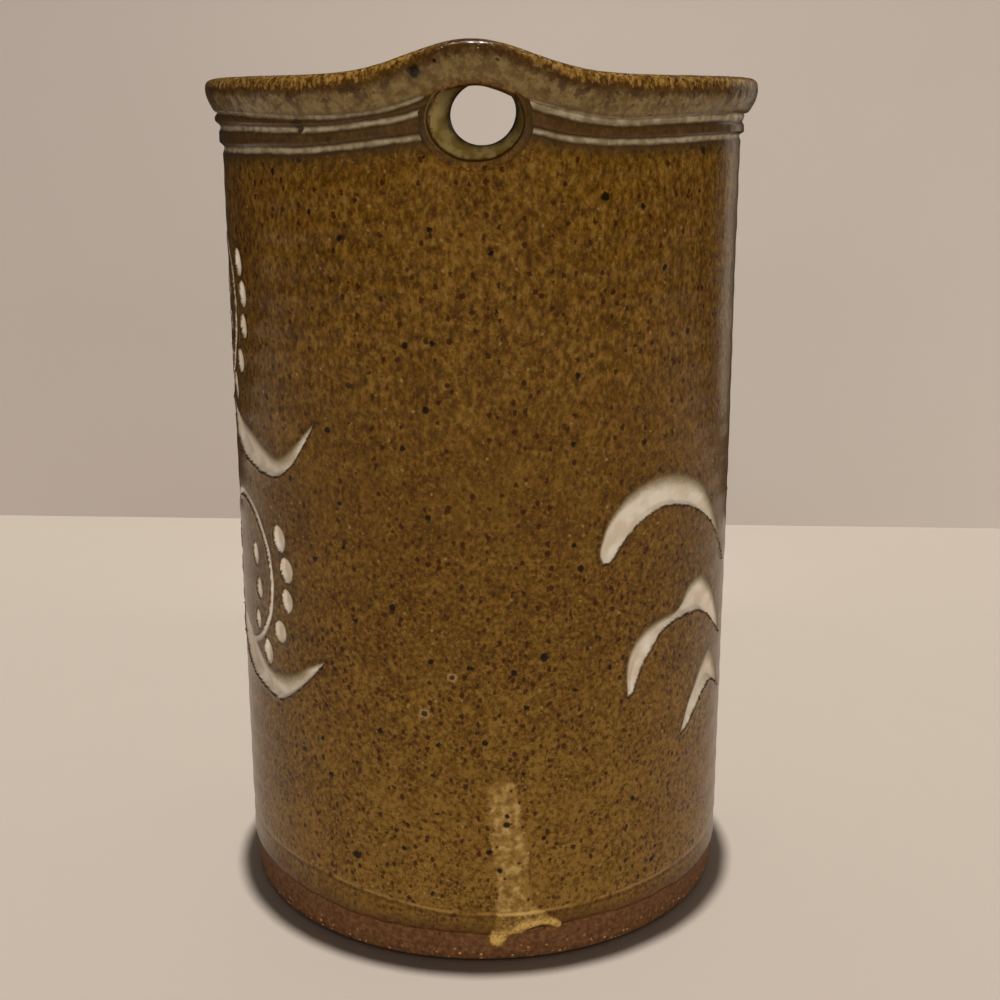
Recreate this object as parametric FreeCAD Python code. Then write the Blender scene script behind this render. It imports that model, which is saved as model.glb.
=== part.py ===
import FreeCAD, Part
import math
import os

# Hanging wall vase in thrown stoneware, in millimetres.
# The foot stands on z = 0 and the vase is upright along +Z. The back, which
# lies against the wall and carries the hanging hole, faces -Y.
# A place on the wall is given as an arc and a height. The arc is the way
# round the outside of the wall from the middle of the back, with +X first.

# Body
BODY_RADIUS = 48.0
WALL_CLAY = 4.6
GLAZE_COAT = 0.4
LINER_COAT = 0.4

# Floor slab, whose bare side is the foot, and the line turned above it
FLOOR_THICKNESS = 6.8
FOOT_INSET = 0.6
FOOT_ROUNDING = 1.4
TRIM_LINE_ABOVE_FLOOR = 4.4
TRIM_LINE_WIDTH = 0.7
TRIM_LINE_DEPTH = 0.2

# Wall glaze, then two bands and the rim above it, in order upwards
GLAZED_HEIGHT = 137.1
CORDON_HEIGHT = 3.1
CORDON_OUT = 0.55
BEAD_HEIGHT = 2.1
BEAD_OUT = 1.4
BEAD_EDGE_OUT = 0.8
BAND_ROUNDING = 0.35

# Rolled rim
RIM_HEIGHT = 6.3
RIM_OUT = 2.7
RIM_NECK_OUT = 1.0
RIM_BULGE_BELOW_TOP = 1.9
RIM_TOP_INSIDE_BULGE = 3.6
RIM_INNER_ROUNDING = 2.6

# The mouth climbs in a crest over the hanging hole and dips at the front
CREST_RISE = 5.1
CREST_SPREAD = 9.6
CREST_SIDESTEP = 1.2
BAND_RISE = 2.4
FRONT_DIP = 15.0
DIP_START_SHARE = 0.53

# Hanging hole with its collar
HOLE_DIAMETER = 9.8
COLLAR_BELOW_CREST = 5.4
COLLAR_SIDE_WALL = 2.6
COLLAR_TOP_WALL = 1.5
COLLAR_SIDESTEP = 1.0
COLLAR_DROP = 0.6
COLLAR_OUT = 1.8
COLLAR_LIP = 0.6
FUNNEL_DEPTH = 3.6

# Gouged pockets in the wall, and the white glaze that half fills them
POCKET_DEPTH = 1.2
INLAY_THICKNESS = 0.6

# Arching leaves at the right of the back. Each has the arc of its left end,
# the height of its foot or how far that is over the next leaf's, its size,
# and shares of that size for the left tip, the right tip, the top of its
# outer edge and the top of its inner edge.
LEAF_UPPER_ARC = 21.0
LEAF_UPPER_OVER_MIDDLE = 18.8
LEAF_UPPER_WIDTH = 39.0
LEAF_UPPER_RISE = 20.3
LEAF_UPPER_SHARES = ((0.0, 0.286), (1.0, 0.0), (0.36, 1.0), (0.41, 0.74))
LEAF_MIDDLE_ARC = 27.0
LEAF_MIDDLE_OVER_LOWER = 11.4
LEAF_MIDDLE_WIDTH = 33.0
LEAF_MIDDLE_RISE = 17.4
LEAF_MIDDLE_SHARES = ((0.0, 0.0), (1.0, 0.16), (0.48, 1.0), (0.45, 0.7))
LEAF_LOWER_ARC = 40.6
LEAF_LOWER_FOOT = 37.8
LEAF_LOWER_WIDTH = 20.4
LEAF_LOWER_RISE = 12.8
LEAF_LOWER_SHARES = ((0.0, 0.0), (1.0, 0.05), (0.51, 1.0), (0.56, 0.53))

# Cradle strokes under the rings. Each has its left end along from its ring's
# centre, the gap under the ring's line, its size, and shares of that size for
# the right tip, the left tip and the lowest points of its two edges.
CRADLE_UPPER_ALONG = 5.3
CRADLE_UPPER_GAP = 9.1
CRADLE_UPPER_WIDTH = 34.7
CRADLE_UPPER_RISE = 11.2
CRADLE_UPPER_SHARES = ((1.0, 1.0), (0.0, 0.85), (0.56, 0.0), (0.56, 0.39))
CRADLE_LOWER_ALONG = -5.0
CRADLE_LOWER_GAP = 3.2
CRADLE_LOWER_WIDTH = 32.7
CRADLE_LOWER_RISE = 11.2
CRADLE_LOWER_SHARES = ((1.0, 1.0), (0.0, 0.53), (0.54, 0.0), (0.54, 0.46))
CRADLE_FRONT_GAP = 10.8
CRADLE_FRONT_WIDTH = 37.6
CRADLE_FRONT_RISE = 11.0
CRADLE_FRONT_SHARES = ((1.0, 1.0), (0.0, 1.0), (0.5, 0.0), (0.5, 0.42))

# Beaded rings: the arc of each centre, how far each line hangs under what is
# over it, the gouged line, the beads at both sides of it and the seeds inside
RING_UPPER_ARC = -71.3
RING_UPPER_BELOW_CORDON = 14.35
RING_LOWER_ARC = -58.5
RING_LOWER_BELOW_CRADLE = 5.932
RING_FRONT_HEIGHT = 80.0
RING_RADIUS = 14.0
RING_LINE_WIDTH = 1.1
RING_BEAD_GAP = 1.8
RING_BEAD_DIAMETER = 3.9
RING_BEAD_TURN_SHARES = (0.083, 0.029, -0.025, -0.083, -0.144)
SEED_CIRCLE_SHARE = 0.5
SEED_DIAMETER = 2.8
SEED_COUNT = 6

# Pale run of glaze down the back: a straight streak that spreads into a toe
# over the edge of the glaze and ends in a short drip on the bare foot
RUN_ARC = 0.3
RUN_WIDTH = 7.3
RUN_LENGTH = 28.8
RUN_TOE_WIDTH = 16.7
RUN_TOE_HEIGHT = 3.8
RUN_DRIP_WIDTH = 4.6
RUN_DRIP_LENGTH = 2.0
RUN_THICKNESS = 0.35
RUN_TOE_BELOW_GLAZE = 1.2

# Steps round a wavy edge, and how far the cutting shapes run past
WAVE_STEPS = 72
OVERRUN = 5.0

# Sizes that follow
CLAY_RADIUS = BODY_RADIUS - GLAZE_COAT
BORE_RADIUS = CLAY_RADIUS - WALL_CLAY
LINER_RADIUS = BORE_RADIUS - LINER_COAT
FOOT_RADIUS = BODY_RADIUS - FOOT_INSET
TRIM_LINE_HEIGHT = FLOOR_THICKNESS + TRIM_LINE_ABOVE_FLOOR
CORDON_FOOT = FLOOR_THICKNESS + GLAZED_HEIGHT
BEAD_FOOT = CORDON_FOOT + CORDON_HEIGHT
RIM_SEAT = BEAD_FOOT + BEAD_HEIGHT
RIM_TOP = RIM_SEAT + RIM_HEIGHT
COLLAR_WIDTH = HOLE_DIAMETER + COLLAR_SIDE_WALL * 2
COLLAR_HEIGHT = HOLE_DIAMETER + COLLAR_TOP_WALL * 2
COLLAR_CENTRE = RIM_TOP + CREST_RISE - COLLAR_BELOW_CREST - COLLAR_HEIGHT / 2
HOLE_HEIGHT = COLLAR_CENTRE + COLLAR_DROP
LEAF_MIDDLE_FOOT = LEAF_LOWER_FOOT + LEAF_MIDDLE_OVER_LOWER
LEAF_UPPER_FOOT = LEAF_MIDDLE_FOOT + LEAF_UPPER_OVER_MIDDLE
RING_OUTER_RADIUS = RING_RADIUS + RING_LINE_WIDTH / 2
RING_FRONT_ARC = BODY_RADIUS * math.pi
RING_UPPER_HEIGHT = CORDON_FOOT - RING_UPPER_BELOW_CORDON - RING_OUTER_RADIUS
CRADLE_UPPER_INNER_DEPTH = CRADLE_UPPER_RISE * CRADLE_UPPER_SHARES[-1][-1]
CRADLE_UPPER_FOOT = RING_UPPER_HEIGHT - RING_OUTER_RADIUS - CRADLE_UPPER_GAP - CRADLE_UPPER_INNER_DEPTH
RING_LOWER_HEIGHT = CRADLE_UPPER_FOOT - RING_LOWER_BELOW_CRADLE - RING_OUTER_RADIUS
BEAD_CIRCLE_RADIUS = RING_OUTER_RADIUS + RING_BEAD_GAP + RING_BEAD_DIAMETER / 2
SEED_CIRCLE_RADIUS = RING_RADIUS * SEED_CIRCLE_SHARE
FIELD_RADIUS = BODY_RADIUS + RIM_OUT + OVERRUN
Vec = FreeCAD.Vector
UP = Vec(0, 0, 1)


def mouth_wave(azimuth, rise):
    """Height that an edge gains at an azimuth: crest at the back, dip in front."""
    turn = math.remainder(azimuth, math.tau)
    from_crest = turn * BODY_RADIUS + CREST_SIDESTEP
    crest = rise * math.exp(-(from_crest / CREST_SPREAD) ** 2 / 2)
    dip_start = math.pi * DIP_START_SHARE
    if abs(turn) <= dip_start:
        return crest
    swing = math.pi * (abs(turn) - dip_start) / (math.pi - dip_start)
    return crest - FRONT_DIP * (1 - math.cos(swing)) / 2


def on_circle(radius, azimuth, height):
    """Point at a radius, azimuth and height."""
    return Vec(radius * math.sin(azimuth), -radius * math.cos(azimuth), height)


def wavy_edge(radius, level, rise):
    """Closed edge at a radius that follows the mouth's wave, from the +X side."""
    turns = [math.pi / 2 + math.tau * index / WAVE_STEPS for index in range(WAVE_STEPS)]
    points = [on_circle(radius, turn, level + mouth_wave(turn, rise)) for turn in turns]
    curve = Part.BSplineCurve()
    curve.interpolate(Points=points, PeriodicFlag=True, Parameters=list(range(WAVE_STEPS + 1)))
    return curve.toShape()


def wavy_field(level, rise, reach):
    """Solid over a wavy level, or under it where the reach is negative."""
    inner = wavy_edge(LINER_RADIUS - OVERRUN, level, rise)
    outer = wavy_edge(FIELD_RADIUS, level, rise)
    return Part.makeRuledSurface(inner, outer).extrude(Vec(0, 0, reach))


def swept_round(section, level, rise):
    """Ring whose section, drawn at the +X side, rides on the mouth's wave."""
    spine = Part.Wire([wavy_edge(BODY_RADIUS, level, rise)])
    sweep = Part.BRepOffsetAPI.MakePipeShell(spine)
    sweep.setBiNormalMode(UP)
    sweep.add(section)
    sweep.build()
    sweep.makeSolid()
    return sweep.shape()


def tube(inner_radius, outer_radius, foot, height):
    """Upright tube round the vase's axis."""
    base = Vec(0, 0, foot)
    outside = Part.makeCylinder(outer_radius, height, base)
    return outside.cut(Part.makeCylinder(inner_radius, height, base))


def drawn(points):
    """Points at the +X side from pairs of a radius and a height."""
    return [Vec(radius, 0, height) for radius, height in points]


def line(start, end):
    """Straight edge between two points."""
    return Part.LineSegment(start, end).toShape()


def arc(start, middle, end):
    """Round edge through three points."""
    return Part.Arc(start, middle, end).toShape()


def smooth_edge(points, directions):
    """Smooth edge through points, with its direction given at each."""
    curve = Part.BSplineCurve()
    curve.interpolate(Points=points, Tangents=directions, TangentFlags=[True] * len(points))
    return curve.toShape()


def floor_slab():
    """Thick thrown floor whose bare side is the foot, rounded at the table."""
    slab = Part.makeCylinder(FOOT_RADIUS, FLOOR_THICKNESS)
    under_edge = [edge for edge in slab.Edges if edge.BoundBox.ZMax < FLOOR_THICKNESS / 2]
    return slab.makeFillet(FOOT_ROUNDING, under_edge)


def plain_wall():
    """Clay wall on the slab, up to the wavy seat of the rim."""
    height = RIM_SEAT + CREST_RISE + OVERRUN - FLOOR_THICKNESS
    clay = tube(BORE_RADIUS, CLAY_RADIUS, FLOOR_THICKNESS, height)
    return clay.cut(wavy_field(RIM_SEAT, BAND_RISE, height))


def trim_line():
    """Vee turned into the glaze a little above the foot."""
    floor_radius = BODY_RADIUS - TRIM_LINE_DEPTH
    outer_radius = BODY_RADIUS + TRIM_LINE_DEPTH
    corners = drawn([
        (floor_radius, TRIM_LINE_HEIGHT),
        (outer_radius, TRIM_LINE_HEIGHT - TRIM_LINE_WIDTH),
        (outer_radius, TRIM_LINE_HEIGHT + TRIM_LINE_WIDTH),
    ])
    face = Part.Face(Part.makePolygon(corners + corners[:1]))
    return face.revolve(Vec(0, 0, 0), UP, 360)


def plain_wall_glaze():
    """Amber glaze over the wall, from the foot's edge to the lowest band."""
    height = GLAZED_HEIGHT + CREST_RISE + OVERRUN
    coat = tube(CLAY_RADIUS, BODY_RADIUS, FLOOR_THICKNESS, height)
    coat = coat.cut(wavy_field(CORDON_FOOT, BAND_RISE, height))
    return coat.cut(trim_line())


def plain_liner_glaze():
    """Glaze inside: over the floor and up the wall to the rim's seat."""
    height = RIM_SEAT + CREST_RISE + OVERRUN - FLOOR_THICKNESS
    outside = Part.makeCylinder(BORE_RADIUS, height, Vec(0, 0, FLOOR_THICKNESS))
    inside = Part.makeCylinder(LINER_RADIUS, height, Vec(0, 0, FLOOR_THICKNESS + LINER_COAT))
    return outside.cut(inside).cut(wavy_field(RIM_SEAT, BAND_RISE, height))


def plain_rim():
    """Rolled rim: a bulging lip that rides over the crest and the dip."""
    low = RIM_SEAT - CREST_RISE
    outer_radius = BODY_RADIUS + RIM_OUT
    neck_radius = BODY_RADIUS + RIM_NECK_OUT
    inner_low, inner_high, top, bulge, neck, neck_low = drawn([
        (LINER_RADIUS, low),
        (LINER_RADIUS, RIM_TOP - RIM_INNER_ROUNDING),
        (outer_radius - RIM_TOP_INSIDE_BULGE, RIM_TOP),
        (outer_radius, RIM_TOP - RIM_BULGE_BELOW_TOP),
        (neck_radius, RIM_SEAT),
        (neck_radius, low),
    ])
    roll = smooth_edge([inner_high, top, bulge, neck], [UP, Vec(1, 0, 0), -UP, -UP])
    section = Part.Wire([
        line(inner_low, inner_high),
        roll,
        line(neck, neck_low),
        line(neck_low, inner_low),
    ])
    lip = swept_round(section, RIM_SEAT, CREST_RISE)
    return lip.cut(wavy_field(RIM_SEAT, BAND_RISE, -RIM_TOP))


def band(foot, height, edge_out, middle_out):
    """Band laid round the wall, with rounded edges so that it reads as a ridge."""
    inner_radius = CLAY_RADIUS - GLAZE_COAT
    edge_radius = BODY_RADIUS + edge_out
    corner = BAND_ROUNDING * (1 - math.sqrt(1 / 2))
    top = foot + height
    inner_foot, outer_foot, low_corner, low, middle, high, high_corner, outer_top, inner_top = drawn([
        (inner_radius, foot),
        (edge_radius - BAND_ROUNDING, foot),
        (edge_radius - corner, foot + corner),
        (edge_radius, foot + BAND_ROUNDING),
        (BODY_RADIUS + middle_out, foot + height / 2),
        (edge_radius, top - BAND_ROUNDING),
        (edge_radius - corner, top - corner),
        (edge_radius - BAND_ROUNDING, top),
        (inner_radius, top),
    ])
    section = Part.Wire([
        line(inner_foot, outer_foot),
        arc(outer_foot, low_corner, low),
        arc(low, middle, high),
        arc(high, high_corner, outer_top),
        line(outer_top, inner_top),
        line(inner_top, inner_foot),
    ])
    ring = swept_round(section, foot, BAND_RISE)
    return ring.cut(Part.makeCylinder(CLAY_RADIUS, RIM_TOP + CREST_RISE))


def plain_cordon():
    """Shallow band above the wall's glaze."""
    return band(CORDON_FOOT, CORDON_HEIGHT, CORDON_OUT, CORDON_OUT + BAND_ROUNDING / 2)


def plain_bead():
    """Narrow round bead between the cordon and the rim."""
    return band(BEAD_FOOT, BEAD_HEIGHT, BEAD_EDGE_OUT, BEAD_OUT)


def oval_wire(width, height, centre_x, centre_z, y):
    """Upright oval in a plane square to the hole's axis, with its seam at +X."""
    round_wire = Part.Wire([Part.Circle(Vec(0, 0, 0), Vec(0, 1, 0), BODY_RADIUS).toShape()])
    stretch = FreeCAD.Matrix()
    stretch.scale(width / 2 / BODY_RADIUS, 1, height / 2 / BODY_RADIUS)
    stretch.move(Vec(centre_x, y, centre_z))
    return round_wire.transformGeometry(stretch)


def collar_plug():
    """Oval plug through the back of the wall, where the collar is luted in."""
    outline = oval_wire(COLLAR_WIDTH, COLLAR_HEIGHT, -COLLAR_SIDESTEP, COLLAR_CENTRE, -FIELD_RADIUS)
    return Part.Face(outline).extrude(Vec(0, FIELD_RADIUS - LINER_RADIUS + OVERRUN, 0))


def hanger_collar():
    """Collar round the hanging hole: raised lip, funnel mouth and round bore."""
    out_radius = BODY_RADIUS + COLLAR_OUT
    body = collar_plug().common(tube(LINER_RADIUS, out_radius, CORDON_FOOT - COLLAR_HEIGHT, RIM_TOP))
    bore = Part.makeCylinder(HOLE_DIAMETER / 2, FIELD_RADIUS, Vec(0, -FIELD_RADIUS, HOLE_HEIGHT), Vec(0, 1, 0))
    mouth_width = COLLAR_WIDTH - COLLAR_LIP * 2
    mouth_height = COLLAR_HEIGHT - COLLAR_LIP * 2
    funnel = Part.makeLoft([
        oval_wire(mouth_width, mouth_height, -COLLAR_SIDESTEP, COLLAR_CENTRE, -out_radius),
        oval_wire(HOLE_DIAMETER, HOLE_DIAMETER, 0, HOLE_HEIGHT, FUNNEL_DEPTH - out_radius),
    ], True, True)
    return body.cut([bore, funnel])


def facing(arc_place):
    """Directions out of the wall and along it, at an arc."""
    azimuth = arc_place / BODY_RADIUS
    outward = Vec(math.sin(azimuth), -math.cos(azimuth), 0)
    along = Vec(math.cos(azimuth), math.sin(azimuth), 0)
    return outward, along


def gouge(outline_face, arc_place):
    """Cutter that goes square into the wall from a flat outline outside it."""
    outward, along = facing(arc_place)
    return outline_face.extrude(outward * (BODY_RADIUS / 2 - FIELD_RADIUS))


def stroke(arc_start, foot, width, rise, outline_shares):
    """Cutter for a stroke between two round edges that meet in two tips."""
    centre_arc = arc_start + width / 2
    outward, along = facing(centre_arc)
    corners = []
    for arc_share, height_share in outline_shares:
        aside = BODY_RADIUS * math.sin((arc_start + width * arc_share - centre_arc) / BODY_RADIUS)
        corners.append(outward * FIELD_RADIUS + along * aside + UP * (foot + rise * height_share))
    first_tip, second_tip, outer_middle, inner_middle = corners
    edges = [arc(first_tip, outer_middle, second_tip), arc(second_tip, inner_middle, first_tip)]
    return gouge(Part.Face(Part.Wire(edges)), centre_arc)


def mirrored(arc_start, width, outline_shares):
    """A stroke's start and shares, turned over about the right-hand side."""
    flipped_shares = [(1 - arc_share, height_share) for arc_share, height_share in outline_shares]
    return BODY_RADIUS * math.pi - arc_start - width, flipped_shares


def cradle(ring_height, gap, arc_start, width, rise, outline_shares):
    """Stroke that hangs under a ring, by the gap from the ring's line."""
    inner_low_share = outline_shares[-1][-1]
    foot = ring_height - RING_OUTER_RADIUS - gap - rise * inner_low_share
    return stroke(arc_start, foot, width, rise, outline_shares)


def round_outline(arc_place, height, diameter):
    """Flat round face outside the wall, facing out."""
    outward, along = facing(arc_place)
    circle = Part.Circle(outward * FIELD_RADIUS + UP * height, outward, diameter / 2)
    return Part.Face(Part.Wire([circle.toShape()]))


def ring_gouge(arc_place, height):
    """Cutter for the round line of a beaded ring."""
    outer = round_outline(arc_place, height, RING_OUTER_RADIUS * 2)
    inner = round_outline(arc_place, height, RING_OUTER_RADIUS * 2 - RING_LINE_WIDTH * 2)
    return gouge(outer.cut(inner).Faces[0], arc_place)


def bead_gouges(arc_place, height):
    """Cutters for the beads at both sides of a ring."""
    cutters = []
    for turn_share in RING_BEAD_TURN_SHARES:
        turn = math.tau * turn_share
        bead_height = height + BEAD_CIRCLE_RADIUS * math.sin(turn)
        for side in (1, -1):
            bead_arc = arc_place + side * BEAD_CIRCLE_RADIUS * math.cos(turn)
            cutters.append(gouge(round_outline(bead_arc, bead_height, RING_BEAD_DIAMETER), bead_arc))
    return Part.Compound(cutters)


def seed_gouges(arc_place, height):
    """Cutters for the small seeds inside a ring."""
    cutters = []
    for index in range(SEED_COUNT):
        turn = math.tau * index / SEED_COUNT
        seed_arc = arc_place + SEED_CIRCLE_RADIUS * math.cos(turn)
        seed_height = height + SEED_CIRCLE_RADIUS * math.sin(turn)
        cutters.append(gouge(round_outline(seed_arc, seed_height, SEED_DIAMETER), seed_arc))
    return Part.Compound(cutters)


def leaf_cutters():
    """Every leaf's name with its cutter, at the back and mirrored to the front."""
    leaves = {
        "leaf_upper": (LEAF_UPPER_ARC, LEAF_UPPER_FOOT, LEAF_UPPER_WIDTH, LEAF_UPPER_RISE, LEAF_UPPER_SHARES),
        "leaf_middle": (LEAF_MIDDLE_ARC, LEAF_MIDDLE_FOOT, LEAF_MIDDLE_WIDTH, LEAF_MIDDLE_RISE,
                        LEAF_MIDDLE_SHARES),
        "leaf_lower": (LEAF_LOWER_ARC, LEAF_LOWER_FOOT, LEAF_LOWER_WIDTH, LEAF_LOWER_RISE, LEAF_LOWER_SHARES),
    }
    cutters = {}
    for name, (arc_start, foot, width, rise, outline_shares) in leaves.items():
        cutters[name] = stroke(arc_start, foot, width, rise, outline_shares)
        front_start, front_shares = mirrored(arc_start, width, outline_shares)
        cutters[name + "_front"] = stroke(front_start, foot, width, rise, front_shares)
    return cutters


def ring_cutters():
    """Every ring's and cradle's name with its cutter."""
    rings = {
        "upper": (RING_UPPER_ARC, RING_UPPER_HEIGHT),
        "lower": (RING_LOWER_ARC, RING_LOWER_HEIGHT),
        "front": (RING_FRONT_ARC, RING_FRONT_HEIGHT),
    }
    cutters = {}
    for name, (arc_place, height) in rings.items():
        cutters["ring_" + name] = ring_gouge(arc_place, height)
        cutters["ring_beads_" + name] = bead_gouges(arc_place, height)
        cutters["ring_seeds_" + name] = seed_gouges(arc_place, height)
    cutters["cradle_upper"] = cradle(
        RING_UPPER_HEIGHT, CRADLE_UPPER_GAP, RING_UPPER_ARC + CRADLE_UPPER_ALONG,
        CRADLE_UPPER_WIDTH, CRADLE_UPPER_RISE, CRADLE_UPPER_SHARES)
    cutters["cradle_lower"] = cradle(
        RING_LOWER_HEIGHT, CRADLE_LOWER_GAP, RING_LOWER_ARC + CRADLE_LOWER_ALONG,
        CRADLE_LOWER_WIDTH, CRADLE_LOWER_RISE, CRADLE_LOWER_SHARES)
    cutters["cradle_front"] = cradle(
        RING_FRONT_HEIGHT, CRADLE_FRONT_GAP, RING_FRONT_ARC - CRADLE_FRONT_WIDTH / 2,
        CRADLE_FRONT_WIDTH, CRADLE_FRONT_RISE, CRADLE_FRONT_SHARES)
    return cutters


def run_outline():
    """Flat outline of the glaze run, outside the back of the wall."""
    toe_foot = FLOOR_THICKNESS - RUN_TOE_BELOW_GLAZE
    toe_top = toe_foot + RUN_TOE_HEIGHT
    right = RUN_ARC + RUN_WIDTH
    corners = [
        (RUN_ARC, toe_foot + RUN_LENGTH),
        (RUN_ARC, toe_foot - RUN_DRIP_LENGTH),
        (RUN_ARC + RUN_DRIP_WIDTH, toe_foot - RUN_DRIP_LENGTH),
        (RUN_ARC + RUN_DRIP_WIDTH, toe_foot),
        (RUN_ARC + RUN_TOE_WIDTH, toe_foot),
        (RUN_ARC + RUN_TOE_WIDTH, toe_top - RUN_TOE_HEIGHT / 2),
        (right, toe_top),
        (right, toe_foot + RUN_LENGTH),
    ]
    points = [Vec(BODY_RADIUS * math.sin(along / BODY_RADIUS), -FIELD_RADIUS, height) for along, height in corners]
    return Part.Face(Part.makePolygon(points + points[:1]))


def glaze_run():
    """Pale run that lies over the glaze's edge and the bare foot under it."""
    cutter = run_outline().extrude(Vec(0, FIELD_RADIUS - BODY_RADIUS / 2, 0))
    skin = tube(FOOT_RADIUS, BODY_RADIUS + RUN_THICKNESS, 0, RIM_SEAT)
    glazed = Part.makeCylinder(BODY_RADIUS, GLAZED_HEIGHT, Vec(0, 0, FLOOR_THICKNESS))
    return cutter.common(skin).cut(glazed)


def vase():
    """Every piece of the vase by name."""
    cutters = leaf_cutters()
    cutters.update(ring_cutters())
    pocket_zone = tube(BODY_RADIUS - POCKET_DEPTH, FIELD_RADIUS, FLOOR_THICKNESS, GLAZED_HEIGHT)
    inlay_zone = tube(BODY_RADIUS - POCKET_DEPTH, BODY_RADIUS - POCKET_DEPTH + INLAY_THICKNESS,
                      FLOOR_THICKNESS, GLAZED_HEIGHT)
    pockets = [cutter.common(pocket_zone) for cutter in cutters.values()]
    plug = collar_plug()
    pieces = {
        "floor_slab": floor_slab(),
        "wall": plain_wall().cut(pockets + [plug]),
        "wall_glaze": plain_wall_glaze().cut(pockets + [plug]),
        "liner_glaze": plain_liner_glaze().cut(plug),
        "lower_cordon": plain_cordon().cut(plug),
        "upper_bead": plain_bead().cut(plug),
        "rim": plain_rim().cut(plug),
        "hanger_collar": hanger_collar(),
        "glaze_run": glaze_run(),
    }
    for name, cutter in cutters.items():
        pieces[name] = cutter.common(inlay_zone)
    return pieces


os.makedirs("parts", exist_ok=True)
for piece_name, piece in vase().items():
    piece.exportStep("parts/" + piece_name + ".step")
    volume = sum(solid.Volume for solid in piece.Solids)
    print(piece_name, len(piece.Solids), "solids", round(volume), "cubic mm", piece.isValid())
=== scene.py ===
"""Dressed model and stage for a hanging wall vase in thrown stoneware.

The vase stands on z = 0 and its back, with the hanging hole, faces -Y. All
sculpting is worked out in millimetres: a place on the wall is an arc, which is
the way round the outside from the middle of the back towards +X, and a height.
Points are turned into metres only where a mesh is made.
"""
import itertools
import logging
import math
from abc import ABC, abstractmethod
from collections.abc import Callable, Mapping, Sequence
from dataclasses import dataclass, field
from enum import Enum

import bmesh
import bpy
import numpy as np
from mathutils import Matrix, Vector


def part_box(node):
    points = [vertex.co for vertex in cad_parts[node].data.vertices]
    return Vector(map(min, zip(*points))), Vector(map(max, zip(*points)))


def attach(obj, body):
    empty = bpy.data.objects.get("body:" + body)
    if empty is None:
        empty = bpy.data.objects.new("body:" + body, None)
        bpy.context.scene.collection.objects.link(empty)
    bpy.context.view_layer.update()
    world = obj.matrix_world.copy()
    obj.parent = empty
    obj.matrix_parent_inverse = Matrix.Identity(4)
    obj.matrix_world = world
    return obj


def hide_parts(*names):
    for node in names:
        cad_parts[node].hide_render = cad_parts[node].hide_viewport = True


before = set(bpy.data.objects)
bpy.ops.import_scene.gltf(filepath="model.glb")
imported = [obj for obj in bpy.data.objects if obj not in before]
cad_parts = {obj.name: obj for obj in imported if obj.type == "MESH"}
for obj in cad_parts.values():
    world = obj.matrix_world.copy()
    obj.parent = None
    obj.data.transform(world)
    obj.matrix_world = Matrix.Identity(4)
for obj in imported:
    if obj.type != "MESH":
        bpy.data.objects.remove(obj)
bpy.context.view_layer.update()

MM = 0.001
BODY = "root"
SHARP_TURN = math.radians(58)
WELD_WAY = 0.005
log = logging.getLogger("wall_vase")

Array = np.ndarray
Object = bpy.types.Object
Table = Sequence[tuple[float, float]]
Triple = tuple[float, float, float]
Row = Colour = tuple[float, float, float, float]


class Slot(Enum):
    """Material slots of the record."""

    BARE = "bare_stoneware"
    AMBER = "amber_glaze"
    WHITE = "white_glaze"
    ASH = "ash_glaze"


def node_mm(node: str, corner: int, axis: int) -> float:
    """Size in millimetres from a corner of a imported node's box."""
    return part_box(node)[corner][axis] / MM


@dataclass(frozen=True)
class BodySizes:
    """Main sizes of the vase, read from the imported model, in millimetres."""

    radius: float = node_mm("wall_glaze", 1, 1)
    foot_radius: float = node_mm("floor_slab", 1, 1)
    floor_top: float = node_mm("floor_slab", 1, 2)
    bore_radius: float = node_mm("liner_glaze", 1, 1)
    rim_radius: float = node_mm("rim", 1, 1)
    crest_top: float = node_mm("rim", 1, 2)
    liner_coat: float = 0.4
    glaze_back: float = 1.55
    under_line: float = 1.25
    front_dip: float = 15.0
    dip_start_share: float = 0.53

    @property
    def liner_radius(self) -> float:
        """Radius of the open bore inside the glaze."""
        return self.bore_radius - self.liner_coat

    @property
    def girth(self) -> float:
        """Way once round the outside of the wall."""
        return math.tau * self.radius


SIZES = BodySizes()
FRONT_ARC = math.pi * SIZES.radius


def once_round(columns: int) -> Array:
    """Evenly spaced arcs, once round the body."""
    return np.linspace(-SIZES.girth / 2, SIZES.girth / 2, columns, endpoint=False)


def short_way(arc: Array) -> Array:
    """The same places as arcs the shorter way round from the middle of the back."""
    return np.remainder(arc + SIZES.girth / 2, SIZES.girth) - SIZES.girth / 2


def smooth_step(low: float, high: float, value: Array) -> Array:
    """Smooth climb from 0 at low to 1 at high."""
    share = np.clip((value - low) / (high - low), 0.0, 1.0)
    return share * share * (3 - 2 * share)


def hump(centre: float, spread: float, value: Array) -> Array:
    """Bell of height 1 round a centre."""
    return np.exp(-(((value - centre) / spread) ** 2) / 2)


def smooth_path(points: Table, steps: int = 10) -> Array:
    """Smooth open path through given points.

    Args:
        points: The places that the path goes through, in order.
        steps: How many short runs lie between two places.

    Returns:
        Array of places along the path.
    """
    places = np.array(points, float)
    places = np.vstack([2 * places[0] - places[1], places, 2 * places[-1] - places[-2]])
    share = np.linspace(0, 1, steps, endpoint=False)[:, None]
    runs = []
    for before, start, end, after in zip(places, places[1:], places[2:], places[3:]):
        bend = 2 * before - 5 * start + 4 * end - after
        twist = 3 * start - before - 3 * end + after
        runs.append((2 * start + (end - before) * share + bend * share**2 + twist * share**3) / 2)
    return np.vstack(runs + [places[-2:-1]])


def lumps_at(points: Array, *layers: tuple[float, ...]) -> Array:
    """Sum of noise layers, each given by its height and what its noise is made with."""
    return sum(height * LatticeNoise(*noise)(points) for height, *noise in layers)


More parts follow.
